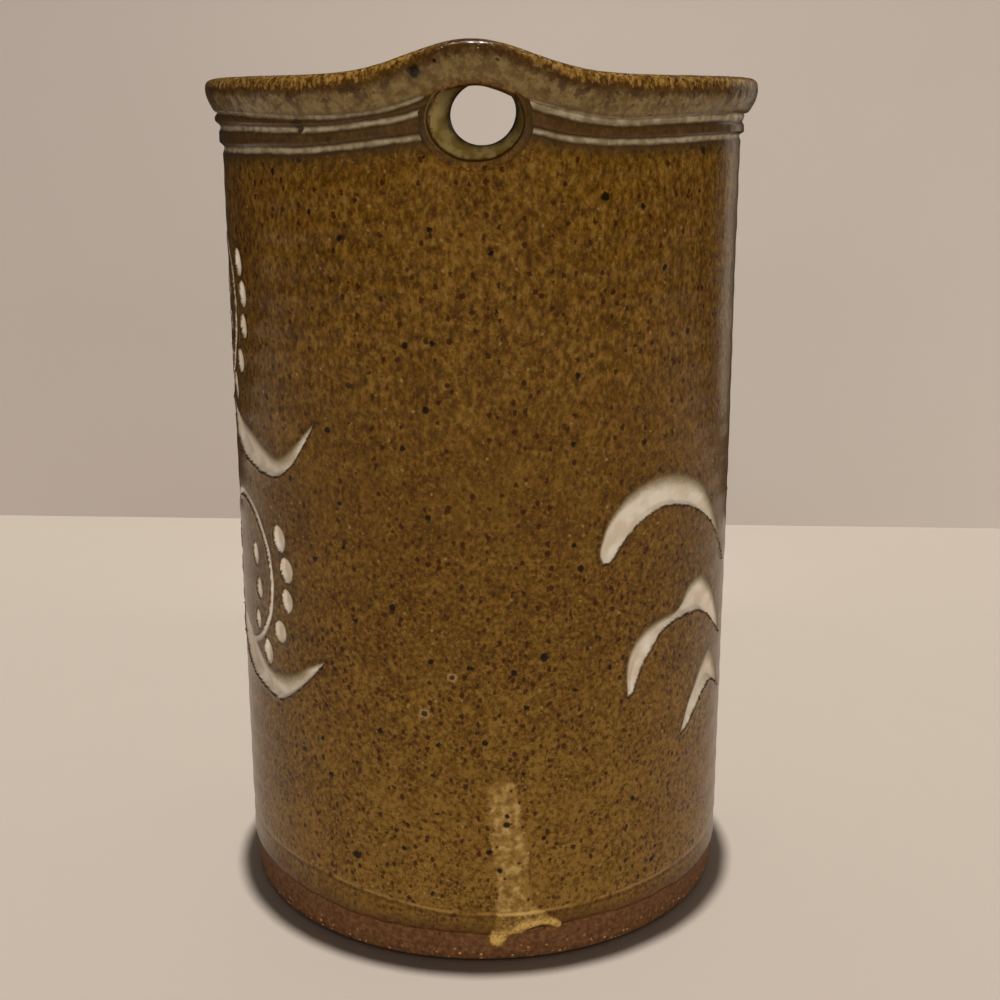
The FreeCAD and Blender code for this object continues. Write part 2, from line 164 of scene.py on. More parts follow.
def round_body(table: Table, arc: Array) -> Array:
    """Value at an arc from pairs of an arc and a value, carried smoothly round.

    Args:
        table: Pairs of an arc and the value there, in order round the body.
        arc: Arcs to find the value at, in millimetres.

    Returns:
        The value at each arc.
    """
    girth = SIZES.girth
    before = [(place - girth, value) for place, value in table[-2:]]
    after = [(place + girth, value) for place, value in table[:2]]
    path = smooth_path([*before, *table, *after])
    turned = (arc - table[0][0]) % girth + table[0][0]
    return np.interp(turned, path[:, 0], path[:, 1])


def on_wall(radius: Array, arc: Array, height: Array) -> Array:
    """Points in millimetres at a radius, arc and height."""
    turn = arc / SIZES.radius
    radius, turn, height = np.broadcast_arrays(radius, turn, height)
    return np.stack([radius * np.sin(turn), -radius * np.cos(turn), height], axis=-1)


@dataclass(frozen=True)
class LatticeNoise:
    """Smooth seeded noise in space, between -1 and 1."""

    seed: int
    size: float
    stretch: float = 1.0
    stock: int = 4096
    strides: tuple[int, int, int] = (73856093, 19349663, 83492791)

    def __call__(self, points: Array) -> Array:
        """Noise at points in millimetres; stretch draws it out along Z."""
        values = np.random.default_rng(self.seed).uniform(-1, 1, self.stock)
        place = points / (self.size * np.array([1.0, 1.0, self.stretch]))
        cell = np.floor(place).astype(np.int64)
        share = place - cell
        share = share * share * (3 - 2 * share)
        result = np.zeros(points.shape[:-1])
        for corner in itertools.product((0, 1), repeat=3):
            near = (cell + np.array(corner)) * np.array(self.strides)
            index = (near[..., 0] ^ near[..., 1] ^ near[..., 2]) % self.stock
            weight = np.prod(np.where(np.array(corner) == 1, share, 1 - share), axis=-1)
            result += values[index] * weight
        return result


class MouthLines:
    """Heights of the rim's top and of the three lines turned under it."""

    upper_table: Table = (
        (-140, 149.0), (-95, 149.3), (-57.1, 149.5), (-40.0, 148.9), (-30.3, 148.7), (-24.1, 148.8),
        (-18.6, 149.3), (-13.4, 150.3), (-9.0, 151.8), (-5.0, 153.2), (-1.0, 153.9), (2.5, 153.2),
        (6.1, 151.9), (8.9, 150.9), (12.0, 150.1), (14.6, 149.5), (19.0, 148.8), (23.8, 148.5),
        (30.0, 148.7), (37.0, 149.0), (46.2, 149.2), (56.0, 149.3), (95, 149.2),
    )
    middle_table: Table = (
        (-140, 147.0), (-95, 146.9), (-58.2, 146.8), (-40.3, 146.8), (-30.5, 146.8), (-24.2, 147.1),
        (-18.7, 147.8), (-13.5, 148.5), (-9.3, 149.6), (-4.0, 150.8), (0.0, 151.3), (3.5, 151.1),
        (6.1, 150.7), (8.9, 149.8), (12.0, 149.1), (14.6, 148.5), (19.0, 147.8), (23.8, 147.5),
        (30.0, 147.7), (37.0, 147.9), (46.2, 148.0), (56.0, 147.9), (95, 147.3),
    )
    lower_table: Table = (
        (-140, 143.6), (-95, 143.4), (-58.7, 143.1), (-42.0, 143.3), (-31.5, 143.5), (-25.0, 144.0),
        (-19.2, 144.6), (-9.6, 145.8), (-3.0, 146.5), (3.0, 147.0), (7.2, 146.9), (11.8, 145.9),
        (15.0, 145.4), (19.6, 145.0), (24.6, 144.9), (33.6, 145.0), (44.7, 145.3), (62.4, 145.3),
        (95, 144.4),
    )
    top_level: float = 155.35
    crest_rise: float = 5.12
    crest_centre: float = -1.7
    crest_spread: float = 9.3

    @staticmethod
    def dip(arc: Array) -> Array:
        """How far the mouth has sunk towards the front."""
        turn = np.abs(np.remainder(arc / SIZES.radius + math.pi, math.tau) - math.pi)
        start = math.pi * SIZES.dip_start_share
        swing = np.clip((turn - start) / (math.pi - start), 0, 1) * math.pi
        return SIZES.front_dip * (1 - np.cos(swing)) / 2

    def upper(self, arc: Array) -> Array:
        """Line between the rolled rim and the bead."""
        return round_body(self.upper_table, arc) - self.dip(arc)

    def middle(self, arc: Array) -> Array:
        """Line between the bead and the cordon."""
        return round_body(self.middle_table, arc) - self.dip(arc)

    def lower(self, arc: Array) -> Array:
        """Line between the cordon and the wall."""
        return round_body(self.lower_table, arc) - self.dip(arc)

    def rim_top(self, arc: Array) -> Array:
        """Top of the rolled rim, with its crest over the hole."""
        near = short_way(arc)
        crest = self.crest_rise * hump(self.crest_centre, self.crest_spread, near)
        return self.top_level + crest - self.dip(arc)


LINES = MouthLines()


class FootLines:
    """Heights of the glaze's lower edge and of the line turned above it."""

    edge_table: Table = (
        (-140, 6.6), (-95, 6.9), (-60, 7.4), (-39, 7.0), (-22, 6.2), (-7, 6.1), (0.5, 5.8),
        (8, 6.2), (18, 6.8), (31, 6.5), (47, 6.1), (70, 6.0), (105, 6.6),
    )
    trim_table: Table = (
        (-140, 13.0), (-100, 14.4), (-67, 14.6), (-55, 13.5), (-41, 13.2), (-33, 13.1), (-25, 12.2),
        (-18, 11.5), (-9, 10.4), (2, 9.9), (13, 10.0), (30, 10.6), (60, 11.2), (105, 12.0),
    )

    def edge(self, arc: Array) -> Array:
        """Lower edge of the amber glaze, a little uneven."""
        wander = LatticeNoise(11, 3.1)(on_wall(SIZES.radius, arc, np.zeros_like(arc)))
        return round_body(self.edge_table, arc) + 0.22 * wander

    def trim(self, arc: Array) -> Array:
        """Line turned into the wall above the foot."""
        return round_body(self.trim_table, arc)


FOOT = FootLines()


def linked(name: str, data: bpy.types.ID) -> Object:
    """New object that shows some data in the scene."""
    shown = bpy.data.objects.new(name, data)
    bpy.context.scene.collection.objects.link(shown)
    return shown


def new_object(name: str, points: Array, faces: Sequence[Sequence[int]], weld: bool = False) -> Object:
    """Smooth object from points in millimetres, with its faces turned outwards.

    Args:
        name: Name of the piece.
        points: One row for each point.
        faces: Corners of each face, as rows of the points.
        weld: Merges the points that coincide, as at a pole.

    Returns:
        The new object, linked into the scene.
    """
    mesh = bpy.data.meshes.new(name)
    mesh.from_pydata((points * MM).tolist(), [], [list(face) for face in faces])
    if weld:
        weld_points(mesh)
    if signed_volume(mesh) < 0:
        mesh.flip_normals()
    mesh.polygons.foreach_set("use_smooth", np.ones(len(mesh.polygons), bool))
    mesh.set_sharp_from_angle(angle=SHARP_TURN)
    mesh.update()
    return linked(name, mesh)


def weld_points(mesh: bpy.types.Mesh) -> None:
    """Merges the points of a mesh that coincide."""
    work = bmesh.new()
    work.from_mesh(mesh)
    bmesh.ops.remove_doubles(work, verts=work.verts, dist=WELD_WAY * MM)
    work.to_mesh(mesh)
    work.free()


def signed_volume(mesh: bpy.types.Mesh) -> float:
    """Volume inside a closed mesh, below zero where its faces point inwards."""
    mesh.calc_loop_triangles()
    count = len(mesh.vertices)
    places = np.empty(count * 3)
    mesh.vertices.foreach_get("co", places)
    places = places.reshape(-1, 3)
    corners = np.empty(len(mesh.loop_triangles) * 3, dtype=np.int32)
    mesh.loop_triangles.foreach_get("vertices", corners)
    a, b, c = (places[corners.reshape(-1, 3)[:, index]] for index in range(3))
    return float(np.einsum("ij,ij->i", a, np.cross(b, c)).sum() / 6)


def store(piece: Object, values: Mapping[str, Array]) -> None:
    """Stores one number for each point of a piece under each name."""
    for name, numbers in values.items():
        layer = piece.data.attributes.new(name, "FLOAT", "POINT")
        layer.data.foreach_set("value", np.ascontiguousarray(numbers, dtype=np.float32).ravel())


def closed_shell(
    name: str, outer: Array, inner: Array, cells: Array, values: Mapping[str, Array]
) -> Object:
    """Closed shell round the body between an outer and an inner grid of points.

    Args:
        name: Name of the piece.
        outer: Points seen from outside, by row and column; columns go once round.
        inner: Points behind them, in the same layout.
        cells: Which cells of the grid the shell has.
        values: Numbers to store at each point, in the same layout.

    Returns:
        The shell, with walls along every open side of its cells.
    """
    rows, columns = outer.shape[:2]
    row, column = np.nonzero(cells)
    beside = (column + 1) % columns
    low_left, low_right = row * columns + column, row * columns + beside
    high_left, high_right = low_left + columns, low_right + columns
    back = rows * columns
    faces = [
        np.stack([low_left, low_right, high_right, high_left], 1),
        np.stack([low_left, high_left, high_right, low_right], 1) + back,
    ]
    padded = np.pad(cells, ((1, 1), (0, 0)))
    sides = (
        (np.roll(cells, 1, axis=1), low_left, high_left),
        (np.roll(cells, -1, axis=1), high_right, low_right),
        (padded[:-2], low_right, low_left),
        (padded[2:], high_left, high_right),
    )
    for neighbour, start, end in sides:
        open_side = ~neighbour[row, column]
        start, end = start[open_side], end[open_side]
        faces.append(np.stack([start, end, end + back, start + back], 1))
    corners = np.vstack(faces)
    used, packed = np.unique(corners, return_inverse=True)
    points = np.vstack([outer.reshape(-1, 3), inner.reshape(-1, 3)])[used]
    piece = new_object(name, points, packed.reshape(-1, 4).tolist())
    store(piece, {key: np.tile(grid.ravel(), 2)[used] for key, grid in values.items()})
    return piece


def closed_sweep(name: str, points: Array, values: Mapping[str, Array]) -> Object:
    """Ring-shaped piece from sections round a path, closed in both directions.

    Args:
        name: Name of the piece.
        points: Places by section and by step round the section.
        values: Numbers to store at each point, in the same layout.

    Returns:
        The ring.
    """
    sections, steps = points.shape[:2]
    section, step = np.meshgrid(np.arange(sections), np.arange(steps), indexing="ij")
    after, beside = (section + 1) % sections, (step + 1) % steps
    corners = [section * steps + step, after * steps + step, after * steps + beside, section * steps + beside]
    piece = new_object(name, points.reshape(-1, 3), np.stack(corners, -1).reshape(-1, 4).tolist())
    store(piece, values)
    return piece


def way_to(path: Array, places: Array) -> tuple[Array, Array]:
    """How far places lie from a path, and how far along it, as a share.

    Args:
        path: Places along the path, in order.
        places: Places to measure from.

    Returns:
        The distance of each place and the share of the path where it is nearest.
    """
    start, run = path[:-1], np.diff(path, axis=0)
    offset = places[:, None, :] - start[None]
    share = np.clip((offset * run).sum(-1) / (run**2).sum(-1), 0, 1)
    distance = np.linalg.norm(offset - share[..., None] * run, axis=-1)
    nearest = distance.argmin(1)
    rows = np.arange(len(places))
    return distance[rows, nearest], (nearest + share[rows, nearest]) / len(run)


def lies_inside(outline: Array, places: Array) -> Array:
    """Whether each place lies inside a closed outline."""
    start, end = outline, np.roll(outline, -1, axis=0)
    above = places[:, 1, None]
    crosses = (start[:, 1] > above) != (end[:, 1] > above)
    rise = np.where(end[:, 1] == start[:, 1], 1.0, end[:, 1] - start[:, 1])
    meet = start[:, 0] + (above - start[:, 1]) * (end[:, 0] - start[:, 0]) / rise
    return (crosses & (places[:, 0, None] < meet)).sum(1) % 2 == 1


@dataclass(frozen=True)
class Gaps:
    """How far places lie inside a gouge, below zero outside it, in millimetres.

    The soft side is where the tool went in and the white glaze thins out, and
    the crisp side is where it came out and left a steep little wall.
    """

    soft: Array
    crisp: Array
    fade: Array

    @property
    def reach(self) -> Array:
        """How far places lie inside the nearer side."""
        return np.minimum(self.soft, self.crisp)


@dataclass(frozen=True)
class Motif(ABC):
    """One gouged piece of the ornament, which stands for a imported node."""

    node: str
    depth: float
    burr: float

    @abstractmethod
    def bounds(self) -> Array:
        """Lowest and highest arc and height of the motif, as two rows."""

    @abstractmethod
    def gaps(self, places: Array) -> Gaps:
        """How far places, as rows of an arc and a height, lie inside."""


@dataclass(frozen=True)
class Stroke(Motif):
    """Sweeping gouge between a soft edge and a crisp edge that share both tips."""

    soft_edge: Table
    crisp_edge: Table
    fade_widths: Table
    mirrored: bool = False

    def _edge(self, points: Table) -> Array:
        """Smooth path of one edge, turned over about the right-hand side if asked."""
        path = smooth_path(points)
        if self.mirrored:
            path[:, 0] = FRONT_ARC - path[:, 0]
        return path

    def bounds(self) -> Array:
        """Lowest and highest arc and height of both edges."""
        both = np.vstack([self._edge(self.soft_edge), self._edge(self.crisp_edge)])
        return np.stack([both.min(0), both.max(0)])

    def gaps(self, places: Array) -> Gaps:
        """Signed way from each edge; a place outside is only outside the nearer one."""
        soft_path, crisp_path = self._edge(self.soft_edge), self._edge(self.crisp_edge)
        soft, along = way_to(soft_path, places)
        crisp, _ = way_to(crisp_path, places)
        outside = ~lies_inside(np.vstack([soft_path, crisp_path[::-1]]), places)
        past_crisp = outside & (crisp < soft)
        past_soft = outside & ~past_crisp
        shares, widths = zip(*self.fade_widths)
        return Gaps(np.where(past_soft, -soft, soft), np.where(past_crisp, -crisp, crisp),
                    np.interp(along, shares, widths))

    def crisp_path(self) -> Array:
        """Path along the crisp edge, where the tool left crumbs."""
        return self._edge(self.crisp_edge)


@dataclass(frozen=True)
class RoundLine(Motif):
    """Narrow gouged line round an upright oval."""

    centre: tuple[float, float]
    half_width: float
    half_height: float
    line_width: float = 1.15

    def bounds(self) -> Array:
        """Box round the oval."""
        reach = np.array([self.half_width, self.half_height]) + self.line_width
        return np.stack([np.array(self.centre) - reach, np.array(self.centre) + reach])

    def gaps(self, places: Array) -> Gaps:
        """The crisp side is the inner one."""
        offset = (places - np.array(self.centre)) / np.array([self.half_width, self.half_height])
        way_out = (np.hypot(offset[:, 0], offset[:, 1]) - 1) * (self.half_width + self.half_height) / 2
        half = self.line_width / 2
        return Gaps(half - way_out, half + way_out, np.full(len(places), 0.3))


@dataclass(frozen=True)
class Lenses(Motif):
    """Short lens-shaped cuts, such as the beads round a ring or the seeds in it."""

    places: Table
    half_width: float
    half_length: float
    tilt: float = 14.0
    unevenness: float = 0.14

    def _cut(self, index: int) -> Triple:
        """Half width, half length and tilt in radians of one cut, a little uneven."""
        change = np.random.default_rng(40 + index).uniform(-1, 1, 3) * self.unevenness
        tilt = math.radians(self.tilt) * (1 + 2 * change[2])
        return self.half_width * (1 + change[0]), self.half_length * (1 + change[1]), tilt

    def bounds(self) -> Array:
        """Box round all cuts."""
        places = np.array(self.places)
        return np.stack([places.min(0) - self.half_length, places.max(0) + self.half_length])

    def gaps(self, places: Array) -> Gaps:
        """Each cut lies between two arcs of a circle; its left one is crisp."""
        soft = np.full(len(places), -99.0)
        crisp = soft.copy()
        for index, centre in enumerate(self.places):
            width, length, tilt = self._cut(index)
            offset = places - np.array(centre)
            across = offset[:, 0] * math.cos(tilt) + offset[:, 1] * math.sin(tilt)
            along = offset[:, 1] * math.cos(tilt) - offset[:, 0] * math.sin(tilt)
            swing = (length**2 + width**2) / (2 * width)
            right = swing - np.hypot(across + swing - width, along)
            left = swing - np.hypot(across - swing + width, along)
            nearer = np.minimum(right, left) > np.minimum(soft, crisp)
            soft, crisp = np.where(nearer, right, soft), np.where(nearer, left, crisp)
        return Gaps(soft, crisp, np.full(len(places), 0.35))


def in_front(*places: tuple[float, float]) -> Table:
    """Places whose arcs are counted from the middle of the front."""
    return tuple((FRONT_ARC + along, height) for along, height in places)


# A stroke's soft edge, its crisp edge, and the width over which its white fades, by the share along it.
Shape = tuple[Table, Table, Table]
LEAVES: Mapping[str, Shape] = {
    "leaf_upper": (
        ((21.2, 74.5), (20.5, 76.2), (20.9, 78.6), (22.6, 82.4), (25.9, 85.9), (30.8, 88.0),
         (37.4, 88.3), (45.4, 85.2), (50.5, 80.3), (55.5, 73.9), (60.0, 67.0)),
        ((21.2, 74.5), (22.3, 74.6), (23.6, 75.8), (25.9, 78.6), (29.4, 81.3), (34.3, 82.8),
         (40.1, 82.1), (45.9, 79.9), (51.9, 76.0), (56.5, 71.4), (60.0, 67.0)),
        ((0, 0.3), (0.25, 0.6), (0.42, 2.0), (0.6, 2.9), (0.75, 1.4), (1, 0.5)),
    ),
    "leaf_middle": (
        ((26.9, 48.9), (26.5, 53.0), (27.2, 57.0), (29.6, 60.0), (33.4, 61.8), (38.6, 62.4),
         (40.6, 63.7), (42.8, 66.3), (46.8, 67.2), (51.0, 64.5), (55.2, 59.8), (60.0, 52.0)),
        ((26.9, 48.9), (28.0, 49.6), (29.1, 52.5), (31.3, 55.8), (34.4, 59.2), (38.7, 60.8),
         (45.7, 60.8), (50.4, 58.9), (55.0, 55.6), (60.0, 52.0)),
        ((0, 0.3), (0.2, 1.0), (0.36, 2.2), (0.48, 0.9), (0.62, 2.6), (0.8, 1.6), (1, 0.5)),
    ),
    "leaf_lower": (
        ((41.6, 37.6), (43.2, 41.6), (45.7, 45.4), (48.6, 48.6), (52.2, 50.9), (55.4, 48.9),
         (58.2, 45.0), (61.0, 40.5)),
        ((41.6, 37.6), (44.0, 38.8), (47.1, 41.4), (50.8, 43.8), (54.4, 44.4), (58.4, 42.4),
         (61.0, 40.5)),
        ((0, 0.3), (0.3, 1.6), (0.6, 2.6), (1, 0.5)),
    ),
}
CRADLES: Mapping[str, Shape] = {
    "cradle_upper": (
        ((-66.0, 98.2), (-61.5, 96.4), (-56.7, 95.1), (-51.1, 93.8), (-46.7, 91.9), (-41.7, 90.5),
         (-37.3, 92.7), (-33.9, 95.8), (-31.0, 98.3)),
        ((-66.0, 98.2), (-62.3, 93.0), (-58.3, 89.6), (-51.9, 88.0), (-45.5, 87.0), (-41.2, 87.4),
         (-37.3, 90.0), (-34.3, 93.5), (-31.0, 98.3)),
        ((0, 0.8), (0.35, 2.6), (0.62, 2.2), (0.8, 0.9), (1, 0.3)),
    ),
    "cradle_lower": (
        ((-69.0, 57.5), (-63.0, 56.2), (-58.3, 55.0), (-53.2, 52.3), (-48.1, 49.3), (-42.8, 49.4),
         (-38.1, 50.9), (-34.7, 53.0), (-30.4, 55.0)),
        ((-69.0, 57.5), (-66.4, 53.8), (-63.2, 49.9), (-58.6, 47.0), (-52.7, 45.5), (-45.1, 44.4),
         (-42.1, 45.0), (-38.3, 47.5), (-33.7, 51.5), (-30.4, 55.0)),
        ((0, 0.6), (0.3, 0.9), (0.5, 1.4), (0.62, 3.0), (0.74, 2.2), (0.86, 1.0), (1, 0.3)),
    ),
    "cradle_front": (
        in_front((-18.8, 61.3), (-13.0, 58.6), (-7.0, 56.6), (0.0, 54.6), (7.0, 56.2), (13.0, 58.4),
                 (18.8, 61.3)),
        in_front((-18.8, 61.3), (-14.0, 55.4), (-7.5, 51.7), (0.0, 50.4), (7.0, 51.9), (13.6, 55.8),
                 (18.8, 61.3)),
        ((0, 0.4), (0.35, 2.2), (0.65, 2.2), (1, 0.4)),
    ),
}


@dataclass(frozen=True)
class Ornament:
    """Every gouged motif of the wall, in two groups at the back and their echo in front."""

    ring_half_width: float = 13.2
    ring_half_height: float = 14.4
    bead_offsets: Table = ((16.4, 9.2), (18.3, 3.7), (18.2, -2.1), (15.5, -8.7), (10.5, -14.0))
    seed_offsets: Table = ((6.4, 4.0), (7.6, -2.4), (6.4, -8.8))
    stroke_cut: tuple[float, float] = (1.05, 0.16)

    def strokes(self) -> list[Stroke]:
        """The three leaves, each with its mirrored echo, and the three cradles."""
        strokes = []
        for name, shape in LEAVES.items():
            strokes.append(Stroke(name, *self.stroke_cut, *shape))
            strokes.append(Stroke(name + "_front", *self.stroke_cut, *shape, mirrored=True))
        return strokes + [Stroke(name, *self.stroke_cut, *shape) for name, shape in CRADLES.items()]

    def rings(self) -> list[Motif]:
        """Three ovals, each with beads at both sides and seeds inside."""
        centres = {
            "upper": (-71.3, 114.6),
            "lower": (-58.2, 66.4),
            "front": (FRONT_ARC, 80.0),
        }
        motifs: list[Motif] = []
        for name, (arc, height) in centres.items():
            beads, seeds = (
                [(arc + side * along, height + rise) for along, rise in offsets for side in (1, -1)]
                for offsets in (self.bead_offsets, self.seed_offsets))
            motifs.append(RoundLine(
                "ring_" + name, 0.5, 0.12, (arc, height), self.ring_half_width, self.ring_half_height))
            motifs.append(Lenses("ring_beads_" + name, 0.75, 0.14, beads, 1.75, 2.5))
            motifs.append(Lenses("ring_seeds_" + name, 0.6, 0.12, seeds, 1.25, 2.1, tilt=8.0))
        return motifs

    def motifs(self) -> list[Motif]:
        """All motifs."""
        return [*self.strokes(), *self.rings()]


def wall_radius(arc: Array, height: Array) -> Array:
    """Radius of the glazed wall without its ornament, in millimetres.

    Args:
        arc: Arcs of the places.
        height: Heights of the places.

    Returns:
        The radius at each place, with the turning marks and small lumps.
    """
    points = on_wall(SIZES.radius, arc, height)
    pitch = 5.6
    drift = LatticeNoise(3, 17.0)(points)
    turning = np.sin(math.tau * (height + pitch * arc / SIZES.girth) / pitch + 2.2 * drift)
    radius = SIZES.radius - 0.1 + 0.11 * LatticeNoise(5, 26.0, 1.6)(points) + 0.035 * turning
    radius += lumps_at(points, (0.035, 7, 4.2), (0.022, 8, 1.9))
    over_trim = height - FOOT.trim(arc)
    radius -= 0.14 * hump(0, 0.5, over_trim) + 0.06 * smooth_step(0.6, -0.6, over_trim)
    over_edge = height - FOOT.edge(arc)
    edge_drop = SIZES.radius - SIZES.foot_radius - 0.12
    return radius - edge_drop * (1 - smooth_step(0.0, 1.0, over_edge)) + 0.1 * hump(1.3, 0.6, over_edge)


def band_radius(arc: Array, height: Array) -> Array:
    """Radius of the turned bands under the rim, in millimetres.

    Args:
        arc: Arcs of the places.
        height: Heights of the places, from just under the lowest line upwards.

    Returns:
        The radius at each place.
    """
    lower, middle, upper = LINES.lower(arc), LINES.middle(arc), LINES.upper(arc)
    cordon = (height - lower) / (middle - lower)
    bead = np.clip((height - middle) / (upper - middle), 0, 1)
    out = 0.85 * smooth_step(0.07, 0.34, cordon) - 0.3 * smooth_step(0.74, 0.98, cordon)
    bead_rise = 0.95 * smooth_step(0.08, 0.5, bead) - 0.45 * smooth_step(0.66, 1.0, bead)
    out += bead_rise * (1 - 0.75 * joined_lines(arc))
    under = lower - height
    out -= 0.28 * np.where(under > 0, 1 - smooth_step(0.0, 1.0, under), 1.0)
    points = on_wall(SIZES.radius, arc, height)
    wobble = lumps_at(points, (0.05, 21, 5.0, 0.6), (0.03, 22, 1.6, 0.5))
    return wall_radius(arc, height) + out + np.where(cordon > 0, wobble, 0)


def in_collar(arc: Array, height: Array, shrink: float) -> Array:
    """Whether places lie inside the collar's outer oval, made smaller all round."""
    across = (arc - COLLAR.centre_arc) / (COLLAR.half_width - shrink)
    upright = (height - COLLAR.centre_height) / (COLLAR.half_height - shrink)
    return across**2 + upright**2 < 1


class Piece(ABC):
    """A sub-assembly that builds its objects and dresses them."""

    @abstractmethod
    def build(self) -> list[Object]:
        """Builds every object of the sub-assembly."""

    @staticmethod
    def settle(piece: Object, finish: "Finish", slot: Slot, *nodes: str) -> Object:
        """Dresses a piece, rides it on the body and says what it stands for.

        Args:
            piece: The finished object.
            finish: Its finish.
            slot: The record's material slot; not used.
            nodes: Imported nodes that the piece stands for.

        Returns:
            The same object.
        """
        piece.data.materials.clear()
        piece.data.materials.append(finish.material())
        if nodes:
            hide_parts(*nodes)
        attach(piece, BODY)
        stands_for = ", ".join(nodes) or "nothing"
        log.info("%s: %d faces, in place of %s", piece.name, len(piece.data.polygons), stands_for)
        return piece


@dataclass
class Collar(Piece):
    """Oval collar round the hanging hole, with a funnel that narrows to the bore."""

    centre_arc: float = -1.0
    centre_height: float = 148.5
    half_width: float = 7.6
    half_height: float = 6.45
    bore_arc: float = 0.2
    bore_height: float = 149.3
    bore_half_width: float = 5.65
    bore_half_height: float = 4.78
    bore_lean: float = 0.2
    skirt_and_lip: Sequence[Row] = (
        (-0.3, -0.3, 0.0, 45.2), (1.45, 1.45, 0.0, 46.9), (1.65, 1.55, 0.0, 47.9), (1.35, 1.25, 0.0, 48.4),
        (0.85, 0.85, 0.0, 48.9), (0.3, 0.3, 0.0, 49.22), (0.05, 0.05, 0.0, 49.2), (-0.12, -0.12, 0.0, 48.95),
        (-0.45, -0.4, 0.2, 48.4),
    )
    bore_rows: Sequence[Row] = (
        (0.5, 0.45, 0.8, 47.2), (0.02, 0.02, 1.0, 46.3), (0.0, 0.0, 1.0, 44.9), (0.1, 0.1, 1.0, 43.6),
        (0.6, 0.6, 1.0, 42.65), (1.4, 1.3, 0.9, 42.4),
    )
    back_rows: Sequence[Row] = ((0.8, 0.4, 0.5, 42.4), (0.9, 0.5, 0.3, 42.7), (-0.35, -0.35, 0.1, 43.8))
    around: int = 260
    steps: int = 8

    def section(self) -> Array:
        """Half width, half height, share of the way to the bore's centre, and radius, by step."""
        oval, bore = (self.half_width, self.half_height), (self.bore_half_width, self.bore_half_height)
        rows = [(wide + more_wide, high + more_high, share, radius) for (wide, high), table in (
            (oval, self.skirt_and_lip), (bore, self.bore_rows), (oval, self.back_rows),
        ) for more_wide, more_high, share, radius in table]
        return smooth_path([*rows, rows[0]], self.steps)[:-1]

    def build(self) -> list[Object]:
        """Sweeps the section round the oval."""
        section = self.section()
        turn = np.linspace(0, math.tau, self.around, endpoint=False)[:, None]
        wide, high, to_bore, radius = (section[None, :, index] for index in range(4))
        lean = self.bore_lean * np.clip(to_bore, 0, 1)
        across, upright = wide * np.cos(turn), high * np.sin(turn)
        arc = self.centre_arc + to_bore * (self.bore_arc - self.centre_arc)
        arc = arc + across * np.cos(lean) - upright * np.sin(lean)
        height = self.centre_height + to_bore * (self.bore_height - self.centre_height)
        height = height + across * np.sin(lean) + upright * np.cos(lean)
        points = on_wall(radius + 0 * turn, arc, height)
        lumps = lumps_at(points, (0.1, 31, 3.4), (0.05, 32, 1.3))
        bare = smooth_step(46.0, 48.0, radius + 0 * turn)
        points = on_wall(radius + lumps * bare, arc + 0.6 * lumps, height + 0.7 * lumps)
        throat = np.broadcast_to(np.arange(section.shape[0]) / section.shape[0], arc.shape)
        values = {"throat": throat, "around": np.sin(turn) + 0 * arc, "rightward": np.cos(turn) + 0 * arc}
        collar = closed_sweep("collar_lip", points, values)
        return [self.settle(collar, COLLAR_FINISH, Slot.AMBER, "hanger_collar")]


COLLAR = Collar()


